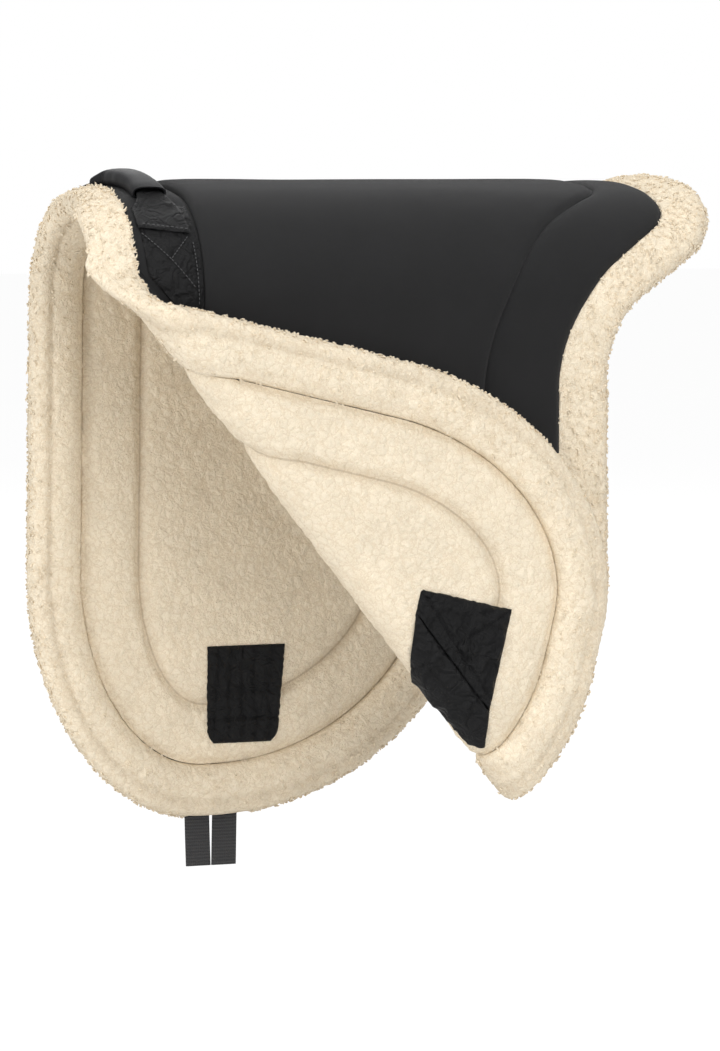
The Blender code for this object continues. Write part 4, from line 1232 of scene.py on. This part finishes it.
def stitches(name, lines, level, body, pitch=stitchShape["pitch"]):
    # Short spindles along flat lines: a tapered hexagonal ring profile along each stitch's own direction.
    spots, ways = [], []
    for line in lines:
        line = np.array(line, float)
        lengths = lengthAlong(line)
        at = np.arange(pitch / 2, lengths[-1], pitch)
        here, past, before = (np.stack([np.interp(at + step, lengths, line[:, k]) for k in (0, 1)], 1)
                              for step in (0.0, 0.5, -0.5))
        ahead = past - before
        spots.append(here)
        ways.append(ahead / np.maximum(np.linalg.norm(ahead, axis=1, keepdims=True), 1e-9))
    spot, way = np.vstack(spots), np.vstack(ways)
    center = wrap(spot[:, 0], spot[:, 1], level)
    ahead = wrap(*(spot + way * 0.5).T, level) - wrap(*(spot - way * 0.5).T, level)
    ahead /= np.linalg.norm(ahead, axis=1, keepdims=True)
    up = wrap(spot[:, 0], spot[:, 1], level + 0.5) - center
    up /= np.linalg.norm(up, axis=1, keepdims=True)
    side = np.cross(ahead, up)
    t = np.array([-1.0, -0.7, 0.7, 1.0])
    r = np.array([0.25, 1.0, 1.0, 0.25])
    turn = np.arange(6) * pi / 3
    x = (t[:, None] + np.zeros(6)) * stitchShape["length"] / 2 * mm
    y = r[:, None] * np.cos(turn) * stitchShape["radius"] * mm
    z = r[:, None] * np.sin(turn) * stitchShape["radius"] * mm
    points = (center[:, None, None] + x[None, ..., None] * ahead[:, None, None]
              + y[None, ..., None] * side[:, None, None] + z[None, ..., None] * up[:, None, None])
    one = ringFaces(4, 6)
    sides = (one[None] + (np.arange(len(center)) * 24)[:, None, None]).reshape(-1, 4)
    ends = np.array([[5, 4, 3, 2, 1, 0], [18, 19, 20, 21, 22, 23]])
    caps = (ends[None] + (np.arange(len(center)) * 24)[:, None, None]).reshape(-1, 6)
    piece = makeMesh(name, points.reshape(-1, 3), sides.tolist() + caps.tolist(), thread)
    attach(piece, body)


def makeStitches():
    # Along the strap's feet, the tabs' edges and triangles, and a crossed box on each half of an anchor.
    shape = handleShape
    left, right = (shape["a"] + side * (shape["footWidth"] / 2 - shape["footInset"]) for side in (-1, 1))
    for side, name in ((-1, "hemStitchesNear"), (1, "hemStitchesFar")):
        tilt = shape["footTilt"] * (right - left) / 2
        hem = shape["footTo"] - shape["stitchInset"]
        lines = [[(left, side * (hem - tilt)), (right, side * (hem + tilt))]]
        stitches(name, lines, tabTop + 0.3 + shape["webbing"] + 0.75, "pad")
    edge = shape["tabRear"] - shape["stitchInset"]
    first, second, tip = sewnTriangle()
    down = [[first, tip, second], [(edge, 142.0), (edge, 198.0)], [tip, (edge - 3, 182.0)]]
    near = [[(x, -y) for x, y in line] for line in down]
    front = shape["tabFront"] + 6
    far = down + [[(edge, 198.0), (front, 198.0), (front, 142.0)]]
    stitches("tabStitchesNear", near, tabTop + 0.1, "pad", 3.4)
    stitches("tabStitchesFar", far, tabTop + 0.1, "pad", 3.4)
    margin = 4.0  # from the anchor's sides and its middle groove
    top, bottom = strapShape["drop"] - strapShape["anchorLength"] + 5.0, strapShape["drop"] - 6.0
    for side, name, body in ((1, "anchorStitchesFar", "pad"), (-1, "anchorStitchesNear", "turned_corner")):
        lines = []
        for half in (-1, 1):
            x0 = strapShape["middle"] + half * margin
            x1 = strapShape["middle"] + half * (strapShape["anchorWidth"] / 2 - margin)
            a, b, c, d = (x0, side * top), (x1, side * top), (x1, side * bottom), (x0, side * bottom)
            lines += [[a, b, c, d, a], [a, c], [d, b]]
        stitches(name, lines, anchorTop + 0.15, body)
    print("stitches made")


makeLining()
makeRim()
makeCover()
makePatches()
makeSleeve()
makeHandleStrap()
makeTabs()
makeStraps()
makeStitches()


# Stage.

stageLook = {"lens": 167.5, "distance": 4.5, "azimuth": -22.0, "eyeX": -0.02, "eyeZ": 0.023, "floorZ": -0.66,
             "floorGlow": 1.09, "floorShare": 0.86, "floorHalf": 30.0, "worldLight": 0.2,
             "lampAim": (0.0, 0.0, -0.3)}
photo = {"scale": 1.087, "middle": (360, 525.5), "eye": (373, 180)}  # pixels to a mm, pixels, pixels
lamps = {  # place, size, watts
    "highFront": ((-0.5, -3.1, 4.8), 3.0, 104.0),
    "lowFront": ((0.0, -5.4, 0.6), 3.2, 132.0),
    "left": ((-5.1, -1.0, 1.3), 3.2, 128.0),
    "top": ((0.0, -0.5, 5.0), 3.0, 84.0),
    "back": ((1.2, 4.2, 3.2), 3.0, 90.0),
}


def raysOf(tree, *kinds):
    # 1 for a ray of one of these kinds: the largest of their marks.
    path = addNode(tree, "ShaderNodeLightPath")
    mark = path.outputs[kinds[0]]
    for kind in kinds[1:]:
        mark = maths(tree, "MAXIMUM", mark, path.outputs[kind])
    return mark


def mixShaders(tree, share, first, second, output):
    mix = addNode(tree, "ShaderNodeMixShader", share, first, second)
    tree.links.new(mix.outputs["Shader"], tree.nodes[output].inputs["Surface"])


def makeFloor():
    # A pale floor that the camera sees as near white, with part of its own shading so that the shadow stays.
    look, tree, shader = newLook("paleFloor", (0.9, 0.9, 0.9), 0.9)
    glow = addNode(tree, "ShaderNodeEmission", Color=(1, 1, 1, 1), Strength=stageLook["floorGlow"])
    share = maths(tree, "MULTIPLY", raysOf(tree, "Is Camera Ray", "Is Glossy Ray"), stageLook["floorShare"])
    mixShaders(tree, share, shader.outputs["BSDF"], glow.outputs["Emission"], "Material Output")
    return look


def makeStage():
    # The eye stands the photo's angle round from the near side, and looks at the middle of its frame.
    az = radians(stageLook["azimuth"])
    distance = stageLook["distance"]
    camera = bpy.data.cameras.new("camera")
    camera.lens = stageLook["lens"]
    camera.clip_end = 50.0
    holder = bpy.data.objects.new("camera", camera)
    bpy.context.scene.collection.objects.link(holder)
    right = Vector((cos(az), sin(az), 0.0))
    ahead = Vector((-sin(az), cos(az), 0.0))
    # The photo's pixels as slopes from the eye.
    scale = 1 / (photo["scale"] * (distance / mm))
    over, down = [(middle - eye) * scale for middle, eye in zip(photo["middle"], photo["eye"])]
    aim = ahead + right * over - Vector((0, 0, 1)) * down
    holder.location = (stageLook["eyeX"] + distance * sin(az), -distance * cos(az), stageLook["eyeZ"])
    holder.rotation_euler = aim.to_track_quat("-Z", "Y").to_euler()
    bpy.context.scene.camera = holder
    world = bpy.data.worlds.new("studio")
    bpy.context.scene.world = world
    world.use_nodes = True
    tree = world.node_tree
    light = tree.nodes["Background"]
    light.inputs["Color"].default_value = (1, 1, 1, 1)
    light.inputs["Strength"].default_value = stageLook["worldLight"]
    seen = addNode(tree, "ShaderNodeBackground", Color=(1, 1, 1, 1), Strength=1.0)
    share = raysOf(tree, "Is Camera Ray", "Is Glossy Ray", "Is Transmission Ray")
    mixShaders(tree, share, light.outputs["Background"], seen.outputs["Background"], "World Output")
    for name, (spot, size, power) in lamps.items():
        lamp = bpy.data.lights.new(name, "AREA")
        lamp.size = size
        lamp.energy = power
        item = bpy.data.objects.new(name, lamp)
        item.location = spot
        way = Vector(stageLook["lampAim"]) - Vector(spot)
        item.rotation_euler = way.to_track_quat("-Z", "Y").to_euler()
        bpy.context.scene.collection.objects.link(item)
    floorMesh = bpy.data.meshes.new("floor")
    half = stageLook["floorHalf"]
    corners = [(x * half, y * half, stageLook["floorZ"]) for x, y in ((-1, -1), (1, -1), (1, 1), (-1, 1))]
    floorMesh.from_pydata(corners, [], [(0, 1, 2, 3)])
    floor = bpy.data.objects.new("floor", floorMesh)
    bpy.context.scene.collection.objects.link(floor)
    floorMesh.materials.append(makeFloor())
    bpy.context.scene.view_settings.view_transform = "Standard"
    print("stage made")


makeStage()
